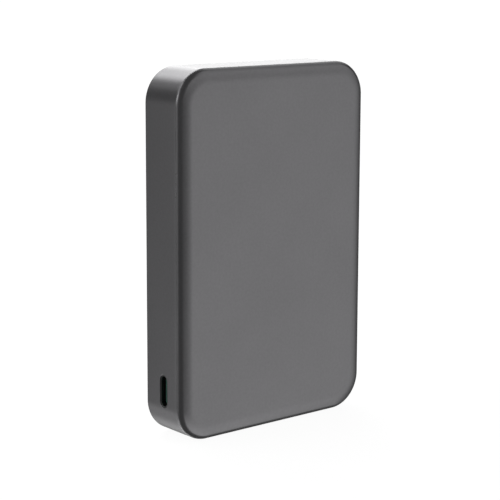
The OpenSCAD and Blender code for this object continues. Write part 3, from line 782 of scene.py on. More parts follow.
MAT.update(
    soft_ring=rubber("soft_ring_rubber", (0.040, 0.040, 0.042), rough=0.66),
    seal_adhesive=rubber("seal_foam_tape", (0.020, 0.020, 0.021), rough=0.8, grain=0.5, scale=2600.0, sheen=0.1),
    button_plastic=satin_shell("coated_button", (0.178, 0.176, 0.182), rough=0.32, metallic=0.9, grain=1.0, wear=0.7),
    clear_diffuser=plastic("milky_diffuser", (0.62, 0.64, 0.65), rough=0.28, grain_scale=3000.0, grain=0.05, coat=0.4),
    circuit_board=board_mask("green_solder_mask", (0.010, 0.070, 0.034), "XZY"),
    protection_mask=board_mask("blue_solder_mask", (0.010, 0.036, 0.095), "XYZ"),
    gunmetal=metal("port_gunmetal", (0.115, 0.120, 0.119), rough=0.42, axes="XYZ"),
    port_insulator=resin("port_green_insulator", (0.0050, 0.100, 0.064), rough=0.42, coat=0.2),
    gold_plating=metal("gold_plated", (0.80, 0.55, 0.20), rough=0.22, axes="XZY", stretch=20.0),
    bright_steel=metal("switch_steel", (0.56, 0.56, 0.58), rough=0.26, axes="ZXY"),
    zinc_screw=metal("zinc_plated", (0.44, 0.45, 0.47), rough=0.30, axes="YXZ", stretch=6.0, tarnish=(0.30, 0.28, 0.22)),
    black_plastic=resin("plunger_black", (0.020, 0.020, 0.022), rough=0.42),
    led_package=resin("led_white_package", (0.74, 0.72, 0.62), rough=0.38, fleck=(0.9, 0.85, 0.4)),
    inductor_powder=resin("pressed_iron_powder", (0.080, 0.082, 0.088), rough=0.62, flow=0.3, fleck=(0.42, 0.42, 0.44), fleck_amount=0.12),
    chip_epoxy=resin("chip_black_epoxy", (0.018, 0.018, 0.020), rough=0.55),
    capacitor_ceramic=resin("capacitor_tan_ceramic", (0.40, 0.27, 0.14), rough=0.40, fleck=(0.6, 0.45, 0.3)),
    pouch_foil=foil("pouch_laminate", (0.60, 0.61, 0.63)),
    nickel_tab=metal("nickel_strip", (0.64, 0.62, 0.57), rough=0.28, axes="ZXY", tarnish=(0.42, 0.36, 0.26)),
    wire_red=rubber("wire_red_silicone", (0.50, 0.016, 0.010), rough=0.48, grain=0.12, sheen=0.1),
    wire_black=rubber("wire_black_silicone", (0.016, 0.016, 0.018), rough=0.48, grain=0.12, sheen=0.1),
    sensor_epoxy=resin("sensor_black_epoxy", (0.016, 0.016, 0.018), rough=0.25, coat=0.6),
    foam=open_foam("pad_foam", (0.050, 0.050, 0.053)),
    adhesive_tape=sheet("tape_film", (0.72, 0.69, 0.58), 0.42, fibre=0.6, coat=0.3, stretch=3.0),
    graphite=sheet("graphite_film", (0.060, 0.061, 0.066), 0.36, fibre=0.8, metallic=0.55, coat=0.35),
    fish_paper=sheet("fish_paper_card", (0.62, 0.52, 0.32), 0.78, axes="XYZ", fibre=1.6),
    magnet_nickel=metal("magnet_nickel", (0.52, 0.52, 0.53), rough=0.18, axes="XZY", stretch=3.0, scratch=0.06, var=0.05),
    shunt_steel=metal("shunt_steel", (0.38, 0.38, 0.39), rough=0.30, axes="XZY", stretch=18.0),
    litz_copper=litz("litz_copper", (0.62, 0.27, 0.10)),
    ferrite=cracked_ferrite("ferrite_tiles", (0.026, 0.026, 0.029)),
)
TIN = metal("tinned_ends", (0.62, 0.62, 0.60), rough=0.34, axes="XZY", stretch=2.0, tarnish=(0.45, 0.44, 0.40))
COPPER = metal("bare_copper", (0.75, 0.35, 0.18), rough=0.32, axes="YXZ", stretch=6.0)


# ------------------------------------------------------------------ shapes for the other parts
def solids_of(node):
    """Boxes of a CAD node's separate solids, in millimetres."""
    bm = bmesh.new()
    bm.from_mesh(frame["nodes"][node].data)
    bmesh.ops.remove_doubles(bm, verts=bm.verts, dist=2e-6)
    seen, out = set(), []
    for v in bm.verts:
        if v in seen:
            continue
        stack, lo, hi = [v], [1e9] * 3, [-1e9] * 3
        seen.add(v)
        while stack:
            a = stack.pop()
            for k in range(3):
                lo[k] = min(lo[k], a.co[k] / MM)
                hi[k] = max(hi[k], a.co[k] / MM)
            for e in a.link_edges:
                o = e.other_vert(a)
                if o not in seen:
                    seen.add(o)
                    stack.append(o)
        out.append((tuple(round(x, 4) for x in lo), tuple(round(x, 4) for x in hi)))
    bm.free()
    return sorted(out)


def rr_pts(cx, cz, w, h, r, d=0.0, n=8, m=1):
    return [(x + cx, z) for x, z in outline(d, r=r, hw=w / 2, hh=h / 2, zc=cz, n=n, m=m)]


def slab_y(bm, cx, cz, w, h, r, prof, n=8, m=1, axis="y", cy=0.0):
    """A closed slab with rounded corners; prof is a list of (inset, level) along the axis."""
    rings = []
    for d, lv in prof:
        pts = rr_pts(cx, cz, w, h, r, d, n, m)
        if axis == "y":
            rings.append([(a, lv, b) for a, b in pts])
        elif axis == "z":
            rings.append([(a, b, lv) for a, b in pts])
        else:
            rings.append([(lv, a, b) for a, b in pts])
    loft(bm, rings)


def soft_edge(y0, y1, q, n=3):
    """Edge profile of a slab from y0 to y1, both rims rounded by q."""
    s = 1 if y1 > y0 else -1
    a = [(q * (1 - math.sin(math.radians(90 * i / n))), y0 + s * q * (1 - math.cos(math.radians(90 * i / n)))) for i in range(n + 1)]
    b = [(q * (1 - math.cos(math.radians(90 * i / n))), y1 - s * q * (1 - math.sin(math.radians(90 * i / n)))) for i in range(n + 1)]
    return a + b


def pillow(bm, cx, cz, w, h, r, prof, crown, steps=(0.96, 0.88, 0.74, 0.56, 0.34, 0.12), n=10, m=10, wave=None):
    """A closed pad across Y whose two faces swell by crown towards the middle."""
    def base(d):
        return rr_pts(cx, cz, w, h, r, d, n, m)

    rings = []
    for s in reversed(steps):
        rings.append([(cx + (x - cx) * s, prof[0][1] - crown * (1 - s ** 2.4), cz + (z - cz) * s) for x, z in base(prof[0][0])])
    rings += [[(x, y, z) for x, z in base(d)] for d, y in prof]
    for s in steps:
        rings.append([(cx + (x - cx) * s, prof[-1][1] + crown * (1 - s ** 2.4), cz + (z - cz) * s) for x, z in base(prof[-1][0])])
    if wave:
        rings = [[(x, y + wave(x, y, z), z) for x, y, z in ring] for ring in rings]
    loft(bm, rings)


def filleted(pts, r=1.4, n=8, step=1.2):
    """A line through points with its corners rounded, sampled evenly enough for a tube."""
    P = [Vector(p) for p in pts]
    raw = [P[0]]
    for a, b, c in zip(P, P[1:], P[2:]):
        k = min(r, (a - b).length * 0.46, (c - b).length * 0.46)
        p, q = b + (a - b).normalized() * k, b + (c - b).normalized() * k
        for i in range(n + 1):
            t = i / n
            raw.append(p.lerp(b, t).lerp(b.lerp(q, t), t))
    raw.append(P[-1])
    out = [raw[0]]
    for p in raw[1:]:
        gap = (p - out[-1]).length
        if gap < 1e-4:
            continue
        k = max(1, int(gap / step))
        a = out[-1].copy()
        for i in range(1, k + 1):
            out.append(a.lerp(p, i / k))
    return out


def tube(bm, path, radius, n=14, ends=True, squash=None):
    """A closed round tube along a path. Returns the length at each ring."""
    rings, along, total = [], [], 0.0
    ref = (path[1] - path[0]).orthogonal().normalized()
    last = len(path) - 1
    spec = []
    for i, p in enumerate(path):
        t = (path[min(i + 1, last)] - path[max(i - 1, 0)]).normalized()
        if i:
            total += (p - path[i - 1]).length
        spec.append((p, t, 1.0, total))
    if ends:
        q = radius * 0.22
        head = [(spec[0][0] + spec[0][1] * q * (1 - math.cos(math.radians(a))), spec[0][1], (radius - q + q * math.sin(math.radians(a))) / radius, 0.0) for a in (0, 30, 60)]
        tail = [(spec[-1][0] - spec[-1][1] * q * (1 - math.cos(math.radians(a))), spec[-1][1], (radius - q + q * math.sin(math.radians(a))) / radius, total) for a in (60, 30, 0)]
        spec[0] = (spec[0][0] + spec[0][1] * q, spec[0][1], 1.0, q)
        spec[-1] = (spec[-1][0] - spec[-1][1] * q, spec[-1][1], 1.0, total - q)
        spec = head + spec + tail
    for p, t, k, s in spec:
        ref = (ref - t * ref.dot(t)).normalized()
        bn = t.cross(ref)
        ring = []
        for j in range(n):
            a = 2 * math.pi * j / n
            ring.append(tuple(p + (ref * math.cos(a) + bn * math.sin(a)) * radius * k))
        rings.append(ring)
        along.append(s)
    first = len(bm.verts)
    vs = loft(bm, rings)
    return first, n, along, vs


def wire_uv(bm, specs):
    """Writes lengthwise (mm) and round-the-wire coordinates to a layer called wire."""
    uv = bm.loops.layers.uv.new("wire")
    pos = {}
    for n, along, vs in specs:
        for s, ring in zip(along, vs):
            for j, v in enumerate(ring):
                pos[v] = (s, j / n)
    for f in bm.faces:
        c = [pos.get(l.vert) for l in f.loops]
        if any(x is None for x in c):
            continue
        wrap = max(x[1] for x in c) - min(x[1] for x in c) > 0.5
        for l, x in zip(f.loops, c):
            l[uv].uv = (x[0], x[1] + (1.0 if wrap and x[1] < 0.5 else 0.0))


def closed_tube_rings(bm, rings):
    """Joins rings of points into a shape like a sleeve: the last ring joins the first."""
    vs = [[bm.verts.new(p) for p in ring] for ring in rings]
    n, k = len(vs[0]), len(vs)
    for q in range(k):
        a, b = vs[q], vs[(q + 1) % k]
        for i in range(n):
            j = (i + 1) % n
            bm.faces.new((a[i], a[j], b[j], b[i]))


def set_material(bm, start, index):
    for f in list(bm.faces)[start:]:
        f.material_index = index


def piece(name, bm, node, slot=None, mats=None, body="casing", angle=32.0, weighted=True):
    """Finishes a piece: mesh, material, body, and the CAD node it stands for."""
    slot = slot or next(s["material_slot"] for s in frame["record"]["subparts"] if s["node"] == node)
    ob = new_object(name, bm, angle=angle, weighted=weighted)
    ob.data.materials.clear()
    for m in (mats or [MAT[slot]]):
        ob.data.materials.append(m)
    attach(ob, body)
    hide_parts(node)
    return ob


# ------------------------------------------------------------------ rear cover and soft ring
def build_rear_cover():
    w, h, r = 2 * (HX - RIM), HZ - 2 * RIM, CR - RIM
    y0, y1 = LEDGE + 0.2, YR
    prof = soft_edge(y0, y1 - 0.0, 0.16, 4)
    bm = bmesh.new()
    slab_y(bm, 0, ZC, w, h, r, prof, n=24, m=6)
    ob = new_object("rear_panel", bm, smooth=False)
    c = bmesh.new()
    lathe_bm(c, [(21.4, y1 - 0.4), (21.4, y1 - 0.10), (21.37, y1 - 0.04), (21.30, y1), (21.30, y1 + 1), (28.2, y1 + 1), (28.2, y1), (28.13, y1 - 0.04), (28.1, y1 - 0.10), (28.1, y1 - 0.4)], (0, 0, COIL_Z), "y", 160)
    cut(ob, c)
    c = bmesh.new()
    rod_bm(c, [(19.5, y0 - 1), (19.5, y1 - 1.1)], (0, 0, COIL_Z), "y", 128)
    cut(ob, c)
    bm = bmesh.new()
    hw = HX - 2.45
    for x in (-hw, hw):
        for z in (25, 52, 80):
            rod_bm(bm, [(0.42, LEDGE - 0.9), (0.55, LEDGE - 0.75), (0.6, LEDGE - 0.55), (0.6, y0 + 0.1)], (x, 0, z), "y", 28)
    add_solids(ob, bm)
    shade(ob, 28)
    assign(ob, MAT["shell_rear"])
    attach(ob, "casing")
    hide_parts("rear_cover")


def build_charge_ring():
    lo, hi = pad_lo.y / MM, pad_hi.y / MM
    ri, ro = 21.5, (pad_hi.x - pad_lo.x) / 2 / MM
    top = []
    for i in range(13):
        t = i / 12
        r = ri + 0.05 + (ro - ri - 0.1) * t
        top.append((r, hi - 0.10 * abs(2 * t - 1) ** 3.2))
    bm = bmesh.new()
    lathe_bm(bm, [(ri + 0.04, lo), (ri, lo + 0.05), (ri, hi - 0.14)] + top + [(ro, hi - 0.14), (ro, lo + 0.05), (ro - 0.04, lo)], (0, 0, COIL_Z), "y", 160)
    piece("soft_charging_ring", bm, "charge_pad", angle=40)


# ------------------------------------------------------------------ button, lights
def build_button():
    lo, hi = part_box("power_button")
    x1 = hi.x / MM
    l, w = 9.0, 3.4
    prof = [(HX - 2.35, l + 1.2, w + 1.2), (HX - 2.28, l + 1.36, w + 1.36), (HX - 2.2, l + 1.4, w + 1.4), (HX - 1.88, l + 1.4, w + 1.4), (HX - 1.80, l + 1.36, w + 1.36), (HX - 1.75, l + 1.2, w + 1.2),
            (HX - 1.75, l + 0.15, w + 0.15), (HX - 1.70, l + 0.04, w + 0.04), (HX - 1.6, l, w), (x1 - 0.42, l, w)]
    q = 0.30
    for i in range(1, 8):
        t = math.radians(90 * i / 7)
        prof.append((x1 - 0.12 - q + q * math.sin(t), l - 2 * q * (1 - math.cos(t)), w - 2 * q * (1 - math.cos(t))))
    # a shallow crown over the cap
    for k in (0.86, 0.66, 0.42, 0.18):
        prof.append((x1 - 0.12 * k * k, (l - 2 * q) - (w - 2 * q) * (1 - k), (w - 2 * q) * k))
    bm = bmesh.new()
    loft(bm, pill_rings(prof, PY, PZ, 24))
    rod_bm(bm, [(0.8, HX - 3.05), (0.95, HX - 2.98), (1.0, HX - 2.88), (1.0, HX - 2.3)], (0, PY, PZ), "x", 32)
    piece("button_cap", bm, "power_button", body="power_button", angle=38)


def build_lights():
    lo, hi = guide_lo, guide_hi
    z0, z1 = lo.z / MM, hi.z / MM
    x0 = lo.x / MM
    bm = bmesh.new()
    slab_y(bm, (PY - 0.1), (z0 + z1) / 2, 2.6, z1 - z0, 0.35, [(0.12, x0), (0.03, x0 + 0.04), (0, x0 + 0.12), (0, x0 + 1.63), (0.03, x0 + 1.71), (0.12, x0 + 1.75)], n=5, m=2, axis="x")
    for i in range(4):
        z = z0 + 1.2 + i * (z1 - z0 - 2.4) / 3
        prof = [(0.6, HX - 1.85), (0.6, HX - 0.12)] + [(0.6 * math.cos(math.radians(a)), HX - 0.12 + 0.10 * math.sin(math.radians(a))) for a in (20, 40, 60, 75, 86)]
        rod_bm(bm, prof, (0, PY, z), "x", 32)
    piece("light_pipes", bm, "light_guide", angle=35)


# ------------------------------------------------------------------ port
def build_port():
    x0 = usb_lo.x / MM
    x1 = x0 + 7.25
    ol, ow, il, iw = 8.94, 3.16, 8.36, 2.58
    rings = [(x1, ol, ow), (x0 + 0.10, ol, ow), (x0 + 0.03, ol - 0.05, ow - 0.05), (x0, ol - 0.16, ow - 0.16), (x0 + 0.01, il + 0.22, iw + 0.22), (x0 + 0.10, il + 0.06, iw + 0.06), (x0 + 0.22, il, iw), (x1, il, iw)]
    bm = bmesh.new()
    closed_tube_rings(bm, pill_rings(rings, PY, PZ, 24))
    legs = [s for s in solids_of("usb_c_shell") if s[1][0] - s[0][0] < 3]
    for lo, hi in legs:
        box_bm(bm, lo[0], hi[0], lo[1], hi[1], lo[2], hi[2], 0.05, 2)
    # spring tabs pressed in the long walls
    for s in (-1, 1):
        for z in (-2.2, 2.2):
            box_bm(bm, x0 + 3.2, x0 + 5.6, PY + s * 1.20 - 0.05, PY + s * 1.20 + 0.05, PZ + z - 0.5, PZ + z + 0.5, 0.04, 2)
    piece("port_shell", bm, "usb_c_shell", angle=35)
    # tongue: a bevelled board-thin blade with a stepped root
    lo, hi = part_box("usb_c_tongue")
    bx = lo.x / MM
    bm = bmesh.new()
    blade = [(bx, 6.26, 0.30), (bx + 0.10, 6.50, 0.46), (bx + 0.34, 6.70, 0.70), (bx + 3.9, 6.70, 0.70), (bx + 4.0, 6.70, 0.70)]
    slab = []
    for x, lz, wy in blade:
        slab.append([(x, PY + y, z) for y, z in rr_pts(0, PZ, wy, lz, 0.10, 0, 4, 1)])
    root = [(bx + 4.02, 6.9, 0.96), (bx + 4.10, 7.0, 1.04), (bx + 4.75, 7.0, 1.04)]
    for x, lz, wy in root:
        slab.append([(x, PY + y, z) for y, z in rr_pts(0, PZ, wy, lz, 0.10, 0, 4, 1)])
    loft(bm, slab)
    loft(bm, pill_rings([(bx + 4.65, 8.15, 2.37), (bx + 4.70, 8.27, 2.49), (bx + 4.78, 8.3, 2.52), (hi.x / MM - 0.1, 8.3, 2.52), (hi.x / MM, 8.1, 2.32)], PY, PZ, 20))
    piece("port_tongue", bm, "usb_c_tongue", angle=30)
    bm = bmesh.new()
    for lo, hi in solids_of("usb_c_contacts"):
        box_bm(bm, lo[0], hi[0], lo[1], hi[1], lo[2], hi[2], 0.018, 1)
    piece("port_contacts", bm, "usb_c_contacts", weighted=False)


# ------------------------------------------------------------------ screws
def screw_bm(bm, x, z, y_seat, length, way, n=30):
    """A pan-head screw along Y with a hex socket and a rolled thread; its tip points to -Y when way is 1."""
    def ring(h, f):
        out = []
        for i in range(n):
            t = 2 * math.pi * i / n
            r = f(t)
            out.append((x + r * math.cos(t), y_seat - way * h, z + r * math.sin(t)))
        return out

    def hexr(rad):
        return lambda t: rad * math.cos(math.pi / 6) / math.cos((t % (math.pi / 3)) - math.pi / 6)

    rings = [ring(length, lambda t: 0.42), ring(length - 0.06, lambda t: 0.5)]
    pitch, depth = 0.4, 0.11
    h = length - 0.12
    step = pitch / 6
    while h > 0.55:
        k = min(1.0, (length - h) / 0.5) * min(1.0, (h - 0.5) / 0.3 + 0.1)

        def f(t, h=h, k=k):
            ph = (h / pitch - way * t / (2 * math.pi)) % 1.0
            crest = 1 - abs(2 * ph - 1)
            crest = min(1.0, max(0.0, (crest - 0.15) / 0.6))
            base = 0.69 if length - h > 0.4 else 0.45 + 0.24 * (length - h) / 0.4
            return base + depth * crest * k
        rings.append(ring(h, f))
        h -= step
    rings += [ring(0.5, lambda t: 0.70), ring(0.12, lambda t: 0.72), ring(0.0, lambda t: 0.86)]
    rings += [ring(0.0, lambda t: 1.38), ring(-0.05, lambda t: 1.47), ring(-0.14, lambda t: 1.5), ring(-0.42, lambda t: 1.5), ring(-0.56, lambda t: 1.45), ring(-0.70, lambda t: 1.33), ring(-0.81, lambda t: 1.16), ring(-0.875, lambda t: 0.95), ring(-0.9, lambda t: 0.80)]
    rings += [ring(-0.885, lambda t: 0.75), ring(-0.82, hexr(0.68)), ring(-0.40, hexr(0.66)), ring(-0.36, hexr(0.60)), ring(-0.34, hexr(0.3))]
    loft(bm, rings)


def build_screws():
    for node, name, length, way in (("board_screws", "board_screw_set", 4.6, -1), ("case_screws", "case_screw_set", 7.4, 1)):
        bm = bmesh.new()
        for lo, hi in solids_of(node):
            seat = hi[1] - 0.9 if way > 0 else lo[1] + 0.9
            screw_bm(bm, (lo[0] + hi[0]) / 2, (lo[2] + hi[2]) / 2, seat, length, way)
        piece(name, bm, node, angle=42, weighted=False)


# ------------------------------------------------------------------ board parts
def chip_bm(bm, lo, hi, out):
    """A flat square package whose open face looks along out (-Y, +Y or +Z), with end terminals."""
    ax = 2 if out == "+z" else 1
    a, b = (0, 2) if ax == 1 else (0, 1)
    w, h = hi[a] - lo[a], hi[b] - lo[b]
    cx, cz = (lo[a] + hi[a]) / 2, (lo[b] + hi[b]) / 2
    l0, l1 = (hi[ax], lo[ax]) if out == "-y" else (lo[ax], hi[ax])
    s = 1 if l1 > l0 else -1
    d = abs(l1 - l0)
    q = 0.06
    prof = [(0.06, l0), (0.03, l0 + s * 0.03), (0.02, l0 + s * 0.2), (0.05, l1 - s * q), (0.05 + q * 0.3, l1 - s * q * 0.3), (0.05 + q, l1)]
    f0 = len(bm.faces)
    slab_y(bm, cx, cz, w, h, 0.12, prof, n=3, axis="z" if ax == 2 else "y")
    # pins along the four edges, in the terminal material
    f1 = len(bm.faces)
    k = int((w - 0.5) / 0.5)
    for i in range(k):
        t = (i - (k - 1) / 2) * 0.5
        for sgn in (-1, 1):
            for along in (0, 1):
                c = [0, 0, 0]
                e = [0, 0, 0]
                c[a if along == 0 else b] = (cx if along == 0 else cz) + t
                e[a if along == 0 else b] = 0.12
                c[b if along == 0 else a] = (cz if along == 0 else cx) + sgn * ((h if along == 0 else w) / 2 - 0.03)
                e[b if along == 0 else a] = 0.05
                c[ax] = l0 + s * 0.11
                e[ax] = 0.10
                box_bm(bm, c[0] - e[0], c[0] + e[0], c[1] - e[1], c[1] + e[1], c[2] - e[2], c[2] + e[2], 0.015, 1)
    bm.faces.ensure_lookup_table()
    for i in range(f1, len(bm.faces)):
        bm.faces[i].material_index = 1
    # pin mark
    r = min(w, h) * 0.06
    px, pz = cx - w / 2 + 0.16 * w, cz + h / 2 - 0.16 * h
    pr = [(r, l1 - s * 0.01), (r, l1 + s * 0.006), (r * 0.85, l1 + s * 0.012), (0.0001, l1 + s * 0.012)]
    if ax == 1:
        rod_bm(bm, [(r, l1 - s * 0.02), (r, l1 + s * 0.004), (r * 0.8, l1 + s * 0.01)], (px, 0, pz), "y", 20)
    else:
        rod_bm(bm, [(r, l1 - s * 0.02), (r, l1 + s * 0.004), (r * 0.8, l1 + s * 0.01)], (px, pz, 0), "z", 20)


def build_board_parts():
    board_lo, board_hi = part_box("main_board")
    mid = (board_lo.y + board_hi.y) / 2 / MM
    bm = bmesh.new()
    for lo, hi in solids_of("board_chips"):
        chip_bm(bm, lo, hi, "-y" if (lo[1] + hi[1]) / 2 < mid else "+y")
    piece("board_chip_set", bm, "board_chips", mats=[MAT["chip_epoxy"], TIN], angle=30)
    bm = bmesh.new()
    for lo, hi in solids_of("protection_chips"):
        chip_bm(bm, lo, hi, "+z")
    piece("protection_chip_set", bm, "protection_chips", mats=[MAT["chip_epoxy"], TIN], angle=30)
    bm = bmesh.new()
    for lo, hi in solids_of("board_capacitors"):
        e = min(0.45, (hi[0] - lo[0]) * 0.2)
        box_bm(bm, lo[0] + e * 0.8, hi[0] - e * 0.8, lo[1] + 0.04, hi[1] - 0.04, lo[2] + 0.04, hi[2] - 0.04, 0.06, 2)
        f = len(bm.faces)
        for a, b in ((lo[0], lo[0] + e), (hi[0] - e, hi[0])):
            box_bm(bm, a, b, lo[1], hi[1], lo[2], hi[2], 0.10, 3)
        bm.faces.ensure_lookup_table()
        for i in range(f, len(bm.faces)):
            bm.faces[i].material_index = 1
    piece("board_capacitor_set", bm, "board_capacitors", mats=[MAT["capacitor_ceramic"], TIN], angle=40)
    bm = bmesh.new()
    for lo, hi in solids_of("power_inductors"):
        cx, cz, w = (lo[0] + hi[0]) / 2, (lo[2] + hi[2]) / 2, hi[0] - lo[0]
        yb, yt = hi[1], lo[1]
        prof = [(0.22, yb), (0.10, yb - 0.03), (0.04, yb - 0.2), (0.0, yb - 0.5), (0.0, yt + 0.75), (0.06, yt + 0.50), (0.22, yt + 0.32), (0.42, yt + 0.27), (0.50, yt + 0.24), (0.56, yt + 0.08), (0.64, yt + 0.02), (0.8, yt)]
        slab_y(bm, cx, cz, w, w, 1.0, prof, n=6)
        f = len(bm.faces)
        for s in (-1, 1):
            box_bm(bm, cx + s * (w / 2 - 0.55) - 0.58, cx + s * (w / 2 - 0.55) + 0.58, yb - 0.10, yb + 0.004, cz - 1.6, cz + 1.6, 0.03, 2)
            box_bm(bm, cx + s * (w / 2 + 0.0) - 0.06, cx + s * (w / 2 + 0.0) + 0.06, yb - 1.1, yb - 0.02, cz - 1.6, cz + 1.6, 0.04, 2)
        bm.faces.ensure_lookup_table()
        for i in range(f, len(bm.faces)):
            bm.faces[i].material_index = 1
    piece("inductor_pair", bm, "power_inductors", mats=[MAT["inductor_powder"], TIN], angle=32)
    bm = bmesh.new()
    for lo, hi in solids_of("status_leds"):
        small = hi[2] - lo[2] < 1.3
        if small:
            slab_y(bm, (lo[1] + hi[1]) / 2, (lo[2] + hi[2]) / 2, hi[1] - lo[1], hi[2] - lo[2], 0.12, [(0, lo[0] - 0.02), (0, hi[0] - 0.12), (0.03, hi[0] - 0.04), (0.12, hi[0])], n=4, axis="x")
        else:
            # stepped package: base with two end terminals
            box_bm(bm, lo[0], hi[0], lo[1] + 0.02, hi[1], lo[2] + 0.22, hi[2] - 0.22, 0.05, 2)
            f = len(bm.faces)
            for a, b in ((lo[2], lo[2] + 0.28), (hi[2] - 0.28, hi[2])):
                box_bm(bm, lo[0] + 0.02, hi[0] - 0.02, lo[1], hi[1] - 0.12, a, b, 0.05, 2)
            bm.faces.ensure_lookup_table()
            for i in range(f, len(bm.faces)):
                bm.faces[i].material_index = 1
    piece("charge_led_set", bm, "status_leds", mats=[MAT["led_package"], TIN], angle=35)
    # the switch's plunger
    lo, hi = (tuple(c / MM for c in p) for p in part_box("tact_switch_plunger"))
    bm = bmesh.new()
    slab_y(bm, (lo[1] + hi[1]) / 2, (lo[2] + hi[2]) / 2, hi[1] - lo[1], hi[2] - lo[2], 0.25, [(0.1, lo[0]), (0.0, lo[0] + 0.1), (0.0, hi[0] - 0.22), (0.02, hi[0] - 0.12), (0.07, hi[0] - 0.04), (0.18, hi[0])], n=5, axis="x")
    piece("switch_plunger", bm, "tact_switch_plunger", body="tact_plunger", angle=35)


# ------------------------------------------------------------------ cells
def build_cells():
    for node, name, seed in (("cell_front", "pouch_cell_front", 0.3), ("cell_rear", "pouch_cell_rear", 1.9)):
        lo, hi = (tuple(c / MM for c in p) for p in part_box(node))
        y0, y1 = lo[1], hi[1]
        z0, w = lo[2], hi[0] - lo[0]
        h = 60.5
        cz = z0 + h / 2
        crown = 0.10
        e = 1.15
        prof = [(e, y0 + crown)]
        for k in range(1, 8):
            t = math.radians(90 - 90 * k / 7)
            prof.append((e * (1 - math.cos(t)), y0 + crown + e * (1 - math.sin(t))))
        prof += [(d, y1 + y0 - y) for d, y in reversed(prof)]

        def wave(x, y, z, seed=seed, cz=cz):
            s = 1 if y > (y0 + y1) / 2 else -1
            return -s * 0.030 * (0.5 + 0.5 * math.sin(x * 0.31 + seed) * math.cos((z - cz) * 0.23 + seed * 2)) - s * 0.012 * (0.5 + 0.5 * math.sin(x * 1.1 + z * 0.7 + seed * 5))
        bm = bmesh.new()
        pillow(bm, 0, cz, w, h, 3.0, prof, crown, wave=wave, n=10, m=14, steps=(0.985, 0.95, 0.9, 0.82, 0.72, 0.6, 0.46, 0.3, 0.12))
        ym = (y0 + y1) / 2
        # sealed top strip with a folded rim and a crimped line
        top = z0 + h
        slab_y(bm, 0, (top + hi[2]) / 2 - 0.3, 41.0, hi[2] - top + 0.6, 0.35, [(0.12, ym - 0.3), (0.0, ym - 0.2), (0.0, ym + 0.2), (0.12, ym + 0.3)], n=5, m=4)
        for k in range(3):
            zc = top + 0.45 + k * 0.42
            box_bm(bm, -20.0, 20.0, ym - 0.335, ym + 0.335, zc - 0.07, zc + 0.07, 0.05, 2)
        # folded side seals lie flat against the body
        for s in (-1, 1):
            xs = sorted((s * (w / 2 - 0.02), s * (w / 2 + 0.26)))
            box_bm(bm, xs[0], xs[1], ym - 1.55, ym + 1.55, z0 + 3.2, top - 3.4, 0.10, 3)
        piece(name, bm, node, angle=50, weighted=False)
    bm = bmesh.new()
    for lo, hi in solids_of("cell_tabs"):
        cx, cz = (lo[0] + hi[0]) / 2, (lo[2] + hi[2]) / 2
        slab_y(bm, cx, cz, hi[0] - lo[0], hi[2] - lo[2], 0.3, soft_edge(lo[1], hi[1], 0.03, 2), n=4, m=3)
        for dx in (-1.2, 0.0, 1.2):
            for s, y in ((-1, lo[1]), (1, hi[1])):
                rod_bm(bm, [(0.26, y - s * 0.02), (0.26, y + s * 0.0), (0.20, y + s * 0.02), (0.08, y + s * 0.012)], (cx + dx, 0, cz + 0.25), "y", 16)
    piece("cell_tab_set", bm, "cell_tabs", angle=30)


# ------------------------------------------------------------------ wires and sensors
def lead_points(node):
    lo, hi = (tuple(c / MM for c in p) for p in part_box(node))
    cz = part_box("protection_board")[0].z / MM + 0.4
    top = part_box("cell_front")[1].z / MM - 1.7
    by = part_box("main_board")[0].y / MM - 0.85
    y = by - 0.05 if node == "lead_positive" else YF + 2.4
    y0 = YF + 1.85 + (4.3 if node == "lead_positive" else 2.5)
    z1 = lo[2] + 0.65
    lx = hi[0] - 0.65
    return [(20.5, y0, cz), (24, y, top + 1.25), (lx, y, top + 0.3), (lx, y, z1 + 2.6), (27.6, by, z1), (25.8, by, z1)]


